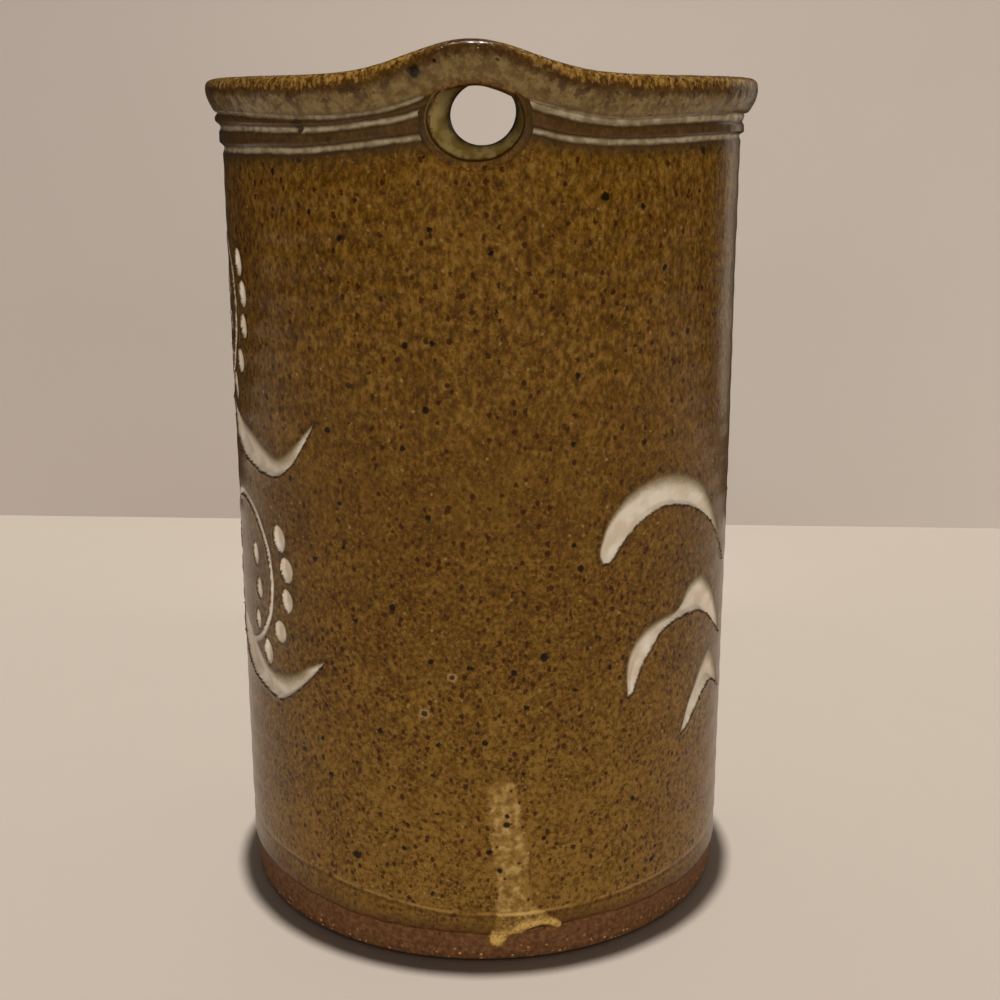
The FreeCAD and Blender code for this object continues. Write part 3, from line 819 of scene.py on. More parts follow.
@dataclass
class WallSkin(Piece):
    """Amber glaze round the wall, with every gouged motif cut into it.

    One grid holds the whole wall. Its cells near a motif are divided finer and
    belong to that motif's piece, and the pieces meet without a gap.
    """

    columns: int = 344
    rows: int = 156
    refine: int = 3
    motif_margin: float = 1.5
    fade_stretch: float = 1.6
    motifs: list[Motif] = field(default_factory=lambda: Ornament().motifs())

    def grid(self) -> tuple[Array, Array]:
        """Arc and height of every fine point."""
        columns, rows = self.columns * self.refine, self.rows * self.refine + 1
        arc = once_round(columns)[None, :]
        arc = np.repeat(arc, rows, axis=0)
        share = np.linspace(0, 1, rows)[:, None]
        foot, top = FOOT.edge(arc[0]) - 0.02, LINES.lower(arc[0]) - SIZES.under_line
        return arc, foot + (top - foot) * share

    def carve(self, arc: Array, height: Array) -> dict[str, Array]:
        """Depth of the ornament and the marks that its finish reads, at every fine point.

        Args:
            arc: Arcs of the fine points.
            height: Heights of the fine points.

        Returns:
            Grids by name: depth, white, crisp, soft, reach and owner.
        """
        marks = {name: np.zeros(arc.shape) for name in ("depth", "white")}
        marks.update({name: np.full(arc.shape, -9.0) for name in ("crisp", "soft", "reach")})
        marks["owner"] = np.full(arc.shape, -1)
        lumps = LatticeNoise(51, 0.8)(on_wall(SIZES.radius, arc, height))
        for index, motif in enumerate(self.motifs):
            low, high = motif.bounds()
            middle = (low[0] + high[0]) / 2
            near_arc = short_way(arc - middle) + middle
            margin = self.motif_margin + 1.5
            near = (near_arc > low[0] - margin) & (near_arc < high[0] + margin)
            near &= (height > low[1] - margin) & (height < high[1] + margin)
            gaps = motif.gaps(np.stack([near_arc[near], height[near]], 1))
            marks["depth"][near] += self.gouge_depth(motif, gaps, lumps[near])
            white = smooth_step(-0.25, 1.0, gaps.soft / (self.fade_stretch * gaps.fade))
            white = white * smooth_step(-0.16, 0.06, gaps.crisp)
            marks["white"][near] = np.maximum(marks["white"][near], white)
            better = gaps.reach > marks["reach"][near]
            for name, values in (("crisp", gaps.crisp), ("soft", gaps.soft), ("reach", gaps.reach)):
                marks[name][near] = np.where(better, values, marks[name][near])
            marks["owner"][near] = np.where(better, index, marks["owner"][near])
        return marks

    @staticmethod
    def gouge_depth(motif: Motif, gaps: Gaps, lumps: Array) -> Array:
        """Depth of a gouge; below zero on the burr that stands along its crisp edge."""
        width = np.maximum(gaps.soft + gaps.crisp, 0.01)
        across = np.clip(gaps.soft / width, 0, 1)
        floor = np.minimum(motif.depth, 0.42 * width) * smooth_step(0.0, 0.85, across)
        cut = np.minimum(floor, np.maximum(gaps.crisp, 0) * 2.4)
        inside = (gaps.soft > 0) & (gaps.crisp > 0)
        burr = motif.burr * (0.8 + 0.7 * lumps) * hump(-0.32, 0.24, gaps.crisp) * (gaps.soft > 0)
        return np.where(inside, cut, 0) - np.where(gaps.crisp < 0, np.maximum(burr, 0), 0)

    def build(self) -> list[Object]:
        """Builds the plain skin and one piece for each motif."""
        arc, height = self.grid()
        marks = self.carve(arc, height)
        outer = on_wall(wall_radius(arc, height) - marks["depth"], arc, height)
        inner = on_wall(np.full(arc.shape, SIZES.radius - SIZES.glaze_back), arc, height)
        values = {name: marks[name] for name in ("white", "crisp", "soft")}
        values["under_line"] = LINES.lower(arc) - height
        values["over_trim"] = height - FOOT.trim(arc)
        values["over_edge"] = height - FOOT.edge(arc)
        step = self.refine
        coarse = (slice(None, None, step), slice(None, None, step))
        owner = self.cell_owner(marks, step)
        hole = in_collar(arc[coarse][:-1], height[coarse][:-1] + 0.4, 0.35)
        owner[hole] = len(self.motifs)
        skin = closed_shell("wall_skin", outer[coarse], inner[coarse], owner < 0,
                            {name: grid[coarse] for name, grid in values.items()})
        pieces = [self.settle(skin, AMBER_FINISH, Slot.AMBER, "wall_glaze")]
        self.snap_border(outer, owner, step)
        fine_owner = np.repeat(np.repeat(owner, step, axis=0), step, axis=1)
        for index, motif in enumerate(self.motifs):
            piece = closed_shell(motif.node + "_gouged", outer, inner, fine_owner == index, values)
            pieces.append(self.settle(piece, AMBER_FINISH, Slot.WHITE, motif.node))
        return pieces

    def cell_owner(self, marks: Mapping[str, Array], step: int) -> Array:
        """Index of the motif that each coarse cell belongs to, or -1 for the plain skin."""
        middle = step // 2 + 1
        starts = [(row, column) for row in (0, middle) for column in (0, middle)]
        reach, owner = (np.stack([marks[name][row:-1:step, column::step] for row, column in starts])
                        for name in ("reach", "owner"))
        best = reach.argmax(0)[None]
        chosen = np.take_along_axis(owner, best, 0)[0]
        return np.where(np.take_along_axis(reach, best, 0)[0] > -self.motif_margin, chosen, -1)

    @staticmethod
    def snap_border(points: Array, owner: Array, step: int) -> None:
        """Moves the fine points on the plain skin's border onto its coarse edges."""
        plain = owner < 0
        upright = plain != np.roll(plain, 1, axis=1)
        row, column = np.nonzero(upright)
        low, high = points[row * step, column * step], points[(row + 1) * step, column * step]
        for part in range(1, step):
            points[row * step + part, column * step] = low + (high - low) * part / step
        level = plain[1:] != plain[:-1]
        row, column = np.nonzero(level)
        row = row + 1
        beside = (column + 1) % owner.shape[1]
        left, right = points[row * step, column * step], points[row * step, beside * step]
        for part in range(1, step):
            points[row * step, column * step + part] = left + (right - left) * part / step


@dataclass
class TurnedBands(Piece):
    """Cordon and bead turned under the rim, each with its pale pooled lines."""

    columns: int = 860
    cordon_rows: int = 26
    bead_rows: int = 16
    overlap: float = 0.35

    def band(self, name: str, foot: Array, top: Array, rows: int) -> Object:
        """One band between two wavy heights.

        Args:
            name: Name of the piece.
            foot: Height of its lower edge by column.
            top: Height of its upper edge by column.
            rows: How many rows of faces it has.

        Returns:
            The band, open where the collar passes through it.
        """
        arc = np.repeat(once_round(self.columns)[None, :], rows + 1, axis=0)
        height = foot + (top - foot) * np.linspace(0, 1, rows + 1)[:, None]
        radius = band_radius(arc, height)
        radius = radius - 0.05 * smooth_step(0.3, 0.0, height - foot)
        radius = radius + self.nick(arc, height)
        inner = on_wall(np.full(arc.shape, SIZES.radius - SIZES.glaze_back), arc, height)
        cells = ~in_collar(arc[:-1], height[:-1], 0.3)
        values = {"pale": pale_lines(arc, height), "under_line": LINES.lower(arc) - height,
                  "burnt": self.nick(arc, height) * 3}
        return closed_shell(name, on_wall(radius, arc, height), inner, cells, values)

    @staticmethod
    def nick(arc: Array, height: Array) -> Array:
        """Small scorched crumb that hangs from the bead over the line under it."""
        centre_arc, centre_height, half_width = -31.2, 147.0, 1.2
        inside = half_width * np.clip((height - centre_height + 1.3) / 2.0, 0, 1) - np.abs(arc - centre_arc)
        return 0.42 * smooth_step(-0.1, 0.3, inside) * smooth_step(148.6, 148.0, height)

    def build(self) -> list[Object]:
        """Builds the cordon and the bead."""
        arc = once_round(self.columns)
        lower, middle, upper = LINES.lower(arc), LINES.middle(arc), LINES.upper(arc)
        cordon = self.band("cordon_band", lower - SIZES.under_line - self.overlap, middle, self.cordon_rows)
        bead = self.band("bead_band", middle, upper + 0.25, self.bead_rows)
        return [
            self.settle(cordon, BAND_FINISH, Slot.AMBER, "lower_cordon"),
            self.settle(bead, BAND_FINISH, Slot.AMBER, "upper_bead"),
        ]


def joined_lines(arc: Array) -> Array:
    """1 where the two upper lines run together, to the right of the hole."""
    near = short_way(arc)
    return smooth_step(-2, 5, near) * smooth_step(112, 84, near)


def pale_lines(arc: Array, height: Array) -> Array:
    """How far places lie inside a pale pooled line, below zero outside, in millimetres."""
    lower, middle, upper = LINES.lower(arc), LINES.middle(arc), LINES.upper(arc)
    ragged = 0.09 * LatticeNoise(61, 1.7)(on_wall(SIZES.radius, arc, height))
    right = joined_lines(arc)
    near = short_way(arc)
    over_hole = smooth_step(8.6, 6.4, np.abs(near - COLLAR.centre_arc))
    thin = 0.2 - np.abs(height - upper) - over_hole
    broad = 0.34 - np.abs(height - middle)
    joined = 0.55 - np.abs(height - (middle + upper) / 2) - over_hole
    upper_pale = np.maximum(thin, broad) * (1 - right) + joined * right
    return np.maximum(upper_pale, 0.38 - np.abs(height - lower)) + ragged


@dataclass
class RolledRim(Piece):
    """Rolled rim that rides over the crest above the hole."""

    columns: int = 860
    steps: int = 5
    outside: Table = (
        (48.95, 0.0), (49.2, 0.04), (49.6, 0.12), (50.08, 0.26), (50.4, 0.41), (50.58, 0.57), (50.6, 0.73),
        (50.38, 0.87), (49.75, 0.955), (48.7, 0.995), (47.4, 1.0), (46.0, 0.985), (44.6, 0.93),
        (43.5, 0.8), (42.8, 0.6), (42.6, 0.35), (42.6, 0.0),
    )
    underside: Table = ((43.2, -0.04), (45.5, -0.05), (47.6, -0.05))

    def build(self) -> list[Object]:
        """Sweeps the section round the mouth."""
        arc = once_round(self.columns)[:, None]
        section = smooth_path([*self.outside, *self.underside, self.outside[0]], self.steps)[:-1]
        radius, share = section[None, :, 0] + 0 * arc, section[None, :, 1]
        seat, top = LINES.upper(arc), LINES.rim_top(arc)
        height = seat + (top - seat) * share
        places = on_wall(radius, arc, height)
        lumps = lumps_at(places, (0.07, 71, 6.0, 0.7), (0.05, 72, 2.1, 0.8))
        lumps += 0.025 * LatticeNoise(73, 0.9)(places)
        low_roll = hump(0.2, 0.1, share) * 0.1
        radius = np.minimum(radius + lumps - low_roll, SIZES.rim_radius - 0.02)
        height = np.minimum(height + 0.5 * lumps * smooth_step(0.7, 1.0, share), SIZES.crest_top - 0.02)
        inner_way = smooth_step(47.4, 42.6, section[None, :, 0]) * (share >= 0)
        near = short_way(arc)
        # Near the crest the roll's mark is lowered, which pulls the gold zone back to make room for the
        # painted dark reflection there.
        crest = 0.16 * hump(LINES.crest_centre, 6.5, near)
        roll = np.where(section[None, :, 0] < 47.4, 1 + inner_way, share - crest)
        piece = closed_sweep("rim_roll", on_wall(radius, arc, height),
                             {"roll": roll, "pale": pale_lines(arc + 0 * radius, height)})
        return [self.settle(piece, RIM_FINISH, Slot.AMBER, "rim")]


@dataclass
class BareFoot(Piece):
    """Floor slab with its bare turned side and the thrown rings under it."""

    columns: int = 360
    grain_count_density: float = 60000.0
    grain_size: float = 0.2
    lowest_grain: float = 0.4
    highest_grain: float = 3.6
    side_rows: int = 26

    def section(self) -> Array:
        """Radius and height from the middle of the underside to the middle of the top."""
        recess, ring = 0.5, 36.0
        under = [(radius, recess) for radius in np.linspace(0, ring - 1.5, 34)]
        bed = [(ring, 0.25), (ring + 1.2, 0.03), (ring + 3, 0.0), (ring + 6, 0.0), (44.6, 0.0), (45.7, 0.03)]
        edge = [(46.4, 0.16), (46.95, 0.5), (47.22, 0.95), (47.34, 1.5)]
        side = [(SIZES.foot_radius, height) for height in np.linspace(2.0, 9.2, self.side_rows)]
        top = [(46.0, 9.3), (43.2, 8.9), *((radius, SIZES.floor_top) for radius in (43.0, 30.0, 0.0))]
        return np.array([*under, *bed, *edge, *side, *top])

    def build(self) -> list[Object]:
        """Turns the slab and scatters coarse grains over its bare side."""
        section = self.section()
        arc = once_round(self.columns)[None, :]
        radius, height = section[:, 0:1] + 0 * arc, section[:, 1:2] + 0 * arc
        places = on_wall(radius, arc, height)
        rough = lumps_at(places, (0.06, 81, 3.0, 0.6), (0.05, 82, 1.1, 0.7))
        turned = 0.02 * np.sin(math.tau * height / 1.35 + 1.4 * LatticeNoise(83, 9.0)(places))
        bare_side = smooth_step(46.0, 47.2, radius) * smooth_step(9.0, 8.0, height)
        radius = radius + np.minimum(rough + turned, 0.12) * bare_side
        thrown = 0.16 * np.sin(math.tau * (radius + 3.1 * arc / SIZES.girth) / 3.1)
        underside = smooth_step(36.0, 33.0, radius) * smooth_step(1.0, 0.6, height)
        height = height + thrown * (underside * smooth_step(0.0, 3.0, radius))
        rows, columns = radius.shape
        row, column = np.meshgrid(np.arange(rows - 1), np.arange(columns), indexing="ij")
        beside = (column + 1) % columns
        corners = np.stack([row * columns + column, row * columns + beside,
                            (row + 1) * columns + beside, (row + 1) * columns + column], -1)
        slab = new_object("foot_slab", on_wall(radius, arc, height).reshape(-1, 3),
                          corners.reshape(-1, 4).tolist(), weld=True)
        self.settle(slab, BARE_FINISH, Slot.BARE, "floor_slab")
        return [slab, self.grains(slab)]

    def grains(self, slab: Object) -> Object:
        """Pale coarse grains that stand out of the bare clay."""
        grains = linked("foot_grains", slab.data.copy())
        GrainTree("coarse_grains").apply(grains, {
            "Density": self.grain_count_density, "Grain Size": self.grain_size * MM,
            "Lowest": self.lowest_grain * MM, "Highest": self.highest_grain * MM, "Seed": 5,
        }, GRAIN_FINISH)
        return self.settle(grains, GRAIN_FINISH, Slot.BARE)


@dataclass
class ClayWall(Piece):
    """Clay wall between the two glazes, which shows nowhere but holds the section."""

    columns: int = 240
    rows: int = 60

    def build(self) -> list[Object]:
        """Builds the tube, open where the collar is luted in."""
        arc = once_round(self.columns)
        arc = np.repeat(arc[None, :], self.rows + 1, axis=0)
        foot = SIZES.floor_top
        height = foot + (LINES.upper(arc) + 0.3 - foot) * np.linspace(0, 1, self.rows + 1)[:, None]
        marks = 0.05 * np.sin(math.tau * height / 5.6 + arc / SIZES.radius)
        outer = on_wall(SIZES.radius - SIZES.glaze_back + 0.12 + marks, arc, height)
        inner = on_wall(np.full(arc.shape, SIZES.bore_radius - 0.02), arc, height)
        cells = ~in_collar(arc[:-1], height[:-1] + 1.0, -1.6)
        piece = closed_shell("clay_wall", outer, inner, cells, {})
        return [self.settle(piece, BARE_FINISH, Slot.BARE, "wall")]


@dataclass
class InsideGlaze(Piece):
    """Glazed inside, with the throwing ridges that climb the wall."""

    columns: int = 300
    ridge_pitch: float = 7.5
    ridge_height: float = 0.16

    def build(self) -> list[Object]:
        """Builds the coat, open at the hole, and raises the ridges on it."""
        liner, clay, floor = SIZES.liner_radius, SIZES.bore_radius + 0.05, SIZES.floor_top
        arc = once_round(self.columns)[None, :]
        top = LINES.upper(arc) + 0.6
        corner = [(math.cos(turn), math.sin(turn)) for turn in np.linspace(-math.pi / 2, 0, 9)]
        bend = 5.0
        seen = [(radius, floor + 0.5) for radius in np.linspace(0, liner - bend, 24, endpoint=False)]
        seen += [(liner - bend + bend * along, floor + 0.5 + bend + bend * up) for along, up in corner]
        behind = [(radius, floor + 0.02) for radius, _ in seen[:24]]
        behind += [(min(radius + 0.4, clay), max(height - 0.5, floor + 0.02)) for radius, height in seen[24:]]
        climb = np.linspace(0, 1, 120)[1:, None]
        start = floor + 0.5 + bend
        inner = np.vstack([on_wall(radius, arc, height + 0 * arc) for radius, height in seen]
                          + [on_wall(liner, arc, start + (top - start) * climb)])
        outer = np.vstack([on_wall(radius, arc, height + 0 * arc) for radius, height in behind]
                          + [on_wall(clay, arc, start + (top - start) * climb)])
        height = inner[:-1, :, 2]
        cells = ~(in_collar(arc + 0 * height, height + 0.5, -0.1) & (height > 100))
        piece = closed_shell("inside_glaze", outer, inner, cells, {})
        weld_points(piece.data)
        RidgeTree("throwing_ridges").apply(piece, {
            "Pitch": self.ridge_pitch * MM, "Height": self.ridge_height * MM, "Radius": liner * MM,
            "Foot": (start + 4) * MM, "Seed": 3,
        }, INSIDE_FINISH)
        return [self.settle(piece, INSIDE_FINISH, Slot.AMBER, "liner_glaze")]


@dataclass
class GlazeRun(Piece):
    """Pale run down the back that spreads over the glaze's edge onto the bare foot."""

    cell: float = 0.22
    thickness: float = 0.3
    streak_left: Table = ((-0.3, 36.4), (0.1, 33.5), (0.4, 29.2), (0.5, 25.1), (1.0, 21.6), (1.7, 18.7),
                          (1.7, 15.2), (1.4, 12.2), (2.0, 9.0), (1.4, 7.2), (0.6, 5.6), (0.5, 4.5))
    top: tuple[float, float] = (2.4, 37.2)
    tip: Table = ((1.3, 3.5), (2.6, 3.4), (3.6, 4.2), (3.9, 5.2), (4.7, 5.3))
    arch: Table = ((5.6, 5.6), (7.3, 6.1), (9.4, 7.1), (11.6, 6.9), (13.6, 6.0), (14.3, 6.6), (13.7, 7.8))
    streak_right: Table = ((11.2, 9.7), (9.2, 10.9), (8.6, 14.7), (8.0, 18.3), (7.9, 21.3), (7.7, 24.7),
                           (6.9, 29.0), (6.6, 33.3), (6.1, 36.2))

    def build(self) -> list[Object]:
        """Builds the run as a low organic swelling over the wall."""
        outline = smooth_path([*self.streak_left, *self.tip, *self.arch, *self.streak_right], 6)
        over_top = smooth_path([self.streak_right[-1], self.top, self.streak_left[0]], 6)
        outline = np.vstack([outline, over_top[1:-1]])
        arcs = np.arange(outline[:, 0].min() - 1, outline[:, 0].max() + 1, self.cell)
        heights = np.arange(outline[:, 1].min() - 1, outline[:, 1].max() + 1, self.cell)
        arc, height = np.meshgrid(arcs, heights)
        places = np.stack([arc.ravel(), height.ravel()], 1)
        distance, _ = way_to(outline, places)
        inside = np.where(lies_inside(outline, places), distance, -distance).reshape(arc.shape)
        points = on_wall(SIZES.radius, arc, height)
        inside += lumps_at(points, (0.28, 91, 1.3), (0.16, 92, 0.6))
        base = np.maximum(wall_radius(arc, height), SIZES.foot_radius + 0.05)
        low = smooth_step(13.0, 9.0, height)
        rise = (0.1 + (self.thickness - 0.1) * low) * smooth_step(0.0, 0.9, inside)
        rise += 0.05 * LatticeNoise(93, 1.6)(points) * smooth_step(0.2, 1.0, inside)
        outer = on_wall(base + np.where(inside > 0, rise + 0.01, 0.35 * inside), arc, height)
        inner = on_wall(np.full(arc.shape, SIZES.foot_radius - 0.6), arc, height)
        cells = inside[:-1, :-1] > -0.5
        cells[:, -1] = cells[:, 0] = False
        cells = np.pad(cells, ((0, 0), (0, 1)))
        values = {"run": inside, "over_edge": height - FOOT.edge(arc), "over_trim": height - FOOT.trim(arc)}
        piece = closed_shell("pale_run", outer, inner, cells, values)
        return [self.settle(piece, RUN_FINISH, Slot.ASH, "glaze_run")]


@dataclass
class EdgeCrumbs(Piece):
    """Small melted crumbs that the gouge left along the crisp edges."""

    spacing: float = 0.7
    size: float = 0.2
    outset: float = 0.3
    scatter: float = 0.16
    lift: float = 0.02
    stem_lift: float = -0.18
    stem_arc: float = 69.0
    stem_heights: Table = ((57.5, 0.0), (63.0, 0.3), (70.0, 0.1), (77.0, 0.4), (82.5, 0.0))

    @staticmethod
    def outward(motif: Stroke | None, path: Array, side: Array) -> float:
        """1 where a side of a crisp edge points away from its gouge, and -1 where it points into it."""
        if motif is None:
            return 1.0
        middle = len(path) // 2
        return -1.0 if motif.gaps((path + 0.3 * side)[middle:middle + 1]).reach[0] > 0 else 1.0

    def build(self) -> list[Object]:
        """Strings crumbs along every crisp edge and melts them into one piece."""
        stem = [(self.stem_arc + aside, height) for height, aside in self.stem_heights]
        paths = [(stroke, stroke.crisp_path()) for stroke in Ornament().strokes()]
        paths.append((None, smooth_path(stem, 16)))
        points: list[Array] = []
        edges: list[tuple[int, int]] = []
        for motif, path in paths:
            first = sum(len(part) for part in points)
            run = np.gradient(path, axis=0)
            run /= np.maximum(np.linalg.norm(run, axis=1, keepdims=True), 1e-6)
            side = np.stack([run[:, 1], -run[:, 0]], 1)
            lift = self.lift if motif else self.stem_lift
            path = path + self.outset * side * self.outward(motif, path, side)
            places = on_wall(wall_radius(path[:, 0], path[:, 1]) + lift, path[:, 0], path[:, 1])
            points.append(places)
            edges += [(first + index, first + index + 1) for index in range(len(places) - 1)]
        mesh = bpy.data.meshes.new("edge_crumbs")
        mesh.from_pydata((np.vstack(points) * MM).tolist(), edges, [])
        crumbs = linked("edge_crumbs", mesh)
        CrumbTree("melted_crumbs").apply(crumbs, {
            "Spacing": self.spacing * MM, "Crumb Size": self.size * MM,
            "Scatter": self.scatter * MM, "Seed": 9,
        }, CRUMB_FINISH)
        return [self.settle(crumbs, CRUMB_FINISH, Slot.AMBER)]


def on_two(operation: str, reflected: bool = False) -> Callable[["Signal", "Signal | float"], "Signal"]:
    """Method of a signal that adds a Math node, with the other value first where it is reflected."""

    def method(self: "Signal", other: "Signal | float") -> "Signal":
        """The Math node on this signal and another value."""
        return self.maths(operation, *((other, self) if reflected else (self, other)))

    return method


@dataclass(frozen=True)
class Signal:
    """One output of a node, which Python's operators work on."""

    sheet: "Sheet"
    node: bpy.types.Node
    output: str | int = 0

    @property
    def socket(self) -> bpy.types.NodeSocket:
        """The output socket itself."""
        return find_socket(self.node.outputs, self.output)

    def peer(self, output: str | int) -> "Signal":
        """Another output of the same node."""
        return Signal(self.sheet, self.node, output)

    def maths(self, operation: str, *values: "Signal | float") -> "Signal":
        """A Math node on some values."""
        return self.sheet.add("ShaderNodeMath", {"operation": operation}, dict(enumerate(values)))

    __add__, __radd__ = on_two("ADD"), on_two("ADD", True)
    __sub__, __rsub__ = on_two("SUBTRACT"), on_two("SUBTRACT", True)
    __mul__, __rmul__ = on_two("MULTIPLY"), on_two("MULTIPLY", True)
    __truediv__, __rtruediv__ = on_two("DIVIDE"), on_two("DIVIDE", True)
    most, least = on_two("MAXIMUM"), on_two("MINIMUM")
    above, below = on_two("GREATER_THAN"), on_two("LESS_THAN")

    def sine(self) -> "Signal":
        """Sine of the value in radians."""
        return self.maths("SINE", self)

    def size(self) -> "Signal":
        """The value without its sign."""
        return self.maths("ABSOLUTE", self)

    def step(self, low: float, high: float) -> "Signal":
        """Smooth climb from 0 at low to 1 at high; high may lie under low."""
        return self.sheet.add(
            "ShaderNodeMapRange", {"interpolation_type": "SMOOTHSTEP"},
            {"Value": self, "From Min": low, "From Max": high, "To Min": 0.0, "To Max": 1.0})


def find_socket(sockets: bpy.types.bpy_prop_collection, key: str | int) -> bpy.types.NodeSocket:
    """Socket with a place, an identifier or a name."""
    if isinstance(key, int):
        return sockets[key]
    matches = [socket for socket in sockets if socket.identifier == key]
    return matches[0] if matches else sockets[key]


class Sheet:
    """Node tree that is built in code, one node at a time."""

    def __init__(self, tree: bpy.types.NodeTree) -> None:
        """Wraps a tree and empties it."""
        self.tree = tree
        tree.nodes.clear()

    def add(
        self, kind: str, settings: Mapping[str, object] | None = None,
        sockets: Mapping[str | int, object] | None = None, output: str | int = 0,
    ) -> Signal:
        """Adds a node.

        Args:
            kind: Type of the node.
            settings: Its own settings, which are set first; "stops" fills a ramp.
            sockets: A value or a link for each input, by place, identifier or name.
            output: The output that the answer stands for.

        Returns:
            The node's output.
        """
        node = self.tree.nodes.new(kind)
        for key, value in (settings or {}).items():
            if key == "stops":
                self.fill_ramp(node.color_ramp, value)
            else:
                setattr(node, key, value)
        for key, value in (sockets or {}).items():
            target = find_socket(node.inputs, key)
            if isinstance(value, Signal):
                self.tree.links.new(value.socket, target)
            else:
                target.default_value = value
        return Signal(self, node, output)

    def vector(self, operation: str, *values: object, output: str | int = 0, **named: object) -> Signal:
        """A Vector Math node on some values."""
        sockets = {**dict(enumerate(values)), **named}
        return self.add("ShaderNodeVectorMath", {"operation": operation}, sockets, output)

    @staticmethod
    def fill_ramp(ramp: bpy.types.ColorRamp, stops: Sequence[tuple[float, Colour]]) -> None:
        """Gives a colour ramp its stops."""
        while len(ramp.elements) < len(stops):
            ramp.elements.new(1.0)
        for element, (place, colour) in zip(ramp.elements, stops):
            element.position, element.color = place, colour


def paint(red: float, green: float, blue: float) -> Colour:
    """Linear colour from the red, green and blue of a screen, 0 to 255."""
    def linear(part: float) -> float:
        """Linear share of one part of the colour."""
        share = part / 255
        return share / 12.92 if share <= 0.04045 else ((share + 0.055) / 1.055) ** 2.4
    return linear(red), linear(green), linear(blue), 1.0


class PaintSheet(Sheet):
    """Sheet of a material, with the patterns that glaze and clay need."""

    def __init__(self, tree: bpy.types.NodeTree) -> None:
        """Starts from the place on the object."""
        super().__init__(tree)
        self.place = self.add("ShaderNodeTexCoord", output="Object")
        self.colour: Signal | None = None

    def lay(self, share: Signal | float, over: Signal | Colour) -> None:
        """Lays a colour over what is painted so far."""
        self.colour = self.blend(share, self.colour, over)

    def along(self, axis: str) -> Signal:
        """How far the place lies along an axis, in millimetres."""
        return self.add("ShaderNodeSeparateXYZ", {}, {"Vector": self.place}, output=axis) / MM

    def mark(self, name: str) -> Signal:
        """Number that the mesh stores at each point."""
        return self.add("ShaderNodeAttribute", {"attribute_name": name}, output="Fac")

    def squeezed(self, stretch: float) -> Signal:
        """The place with its height drawn out by a factor."""
        return self.vector("MULTIPLY", self.place, (1, 1, 1 / stretch))

    def noise(self, size: float, detail: float = 2.0, rough: float = 0.5, stretch: float = 1.0) -> Signal:
        """Cloudy pattern of a size in millimetres, about 0.5 in the middle."""
        return self.add(
            "ShaderNodeTexNoise", {"noise_dimensions": "4D"},
            {"Vector": self.squeezed(stretch), "Scale": 1 / (size * MM), "Detail": detail,
             "Roughness": rough})

    def cells(self, size: float, stretch: float) -> Signal:
        """Distance from the nearest of scattered points, in shares of a size in millimetres."""
        return self.add("ShaderNodeTexVoronoi", {},
                        {"Vector": self.squeezed(stretch), "Scale": 1 / (size * MM)})

    def dots(self, size: float, share: float, radius: tuple[float, float], stretch: float = 1.0,
             ragged: float = 0.3) -> Signal:
        """Scattered dots with uneven outlines.

        Args:
            size: Usual way between the places where a dot may be, in millimetres.
            share: How many of these places have one.
            radius: Where a dot's edge starts and ends, in shares of the size.
            stretch: How far the dots are drawn out upwards.
            ragged: How uneven the outlines are, in shares of the size.

        Returns:
            1 inside a dot and 0 outside.
        """
        cells = self.cells(size, stretch)
        chosen = self.add("ShaderNodeSeparateColor", {}, {"Color": cells.peer("Color")})
        uneven = cells + (self.noise(0.45, 2.0) - 0.5) * ragged
        return uneven.step(radius[1], radius[0]) * chosen.step(share + 0.02, share)

    def spot(self, arc: float, height: float, radius: float, reach: float = SIZES.radius) -> Signal:
        """One round spot at a place on the wall, or at a reach from the axis; its size is its radius."""
        soft = 0.3
        centre = on_wall(reach, np.array(arc), np.array(height)) * MM
        way = self.vector("DISTANCE", self.place, tuple(float(part) for part in centre), output="Value")
        uneven = self.noise(0.5, 1.0) - 0.5
        return (way / MM + uneven * radius * 0.9).step(radius * (1 + soft), radius * (1 - soft))

    def blend(self, share: Signal | float, low: Signal | Colour, high: Signal | Colour) -> Signal:
        """Colour between two colours."""
        return self.add("ShaderNodeMix", {"data_type": "RGBA"},
                        {"Factor_Float": share, "A_Color": low, "B_Color": high}, output="Result_Color")

    def shade(self, colour: Signal, factor: Signal) -> Signal:
        """Colour made lighter or darker by a factor round 1."""
        grey = self.add("ShaderNodeCombineColor", {}, {"Red": factor, "Green": factor, "Blue": factor})
        return self.add("ShaderNodeMix", {"data_type": "RGBA", "blend_type": "MULTIPLY"},
                        {"Factor_Float": 1.0, "A_Color": colour, "B_Color": grey}, output="Result_Color")

    def ramp(self, share: Signal, *stops: tuple[float, Colour]) -> Signal:
        """Colour along a ramp."""
        return self.add("ShaderNodeValToRGB", {"stops": stops}, {"Fac": share}, output="Color")

    def bump(self, height: Signal, distance: float, strength: float) -> Signal:
        """Small relief; its distance is in millimetres."""
        return self.add("ShaderNodeBump", {},
                        {"Height": height, "Distance": distance * MM, "Strength": strength})


@dataclass(frozen=True)
class Finish(ABC):
    """Material that is painted by nodes on the place on the object."""

    name: str

    @abstractmethod
    def paint_on(self, sheet: PaintSheet) -> dict[str, object]:
        """Values and links for the sockets of the shader."""

    def material(self) -> bpy.types.Material:
        """The material, made the first time that it is asked for."""
        made = bpy.data.materials.get(self.name)
        if made:
            return made
        made = bpy.data.materials.new(self.name)
        made.use_nodes = True
        sheet = PaintSheet(made.node_tree)
        shader = sheet.add("ShaderNodeBsdfPrincipled", {}, self.paint_on(sheet))
        sheet.add("ShaderNodeOutputMaterial", {}, {"Surface": shader})
        return made


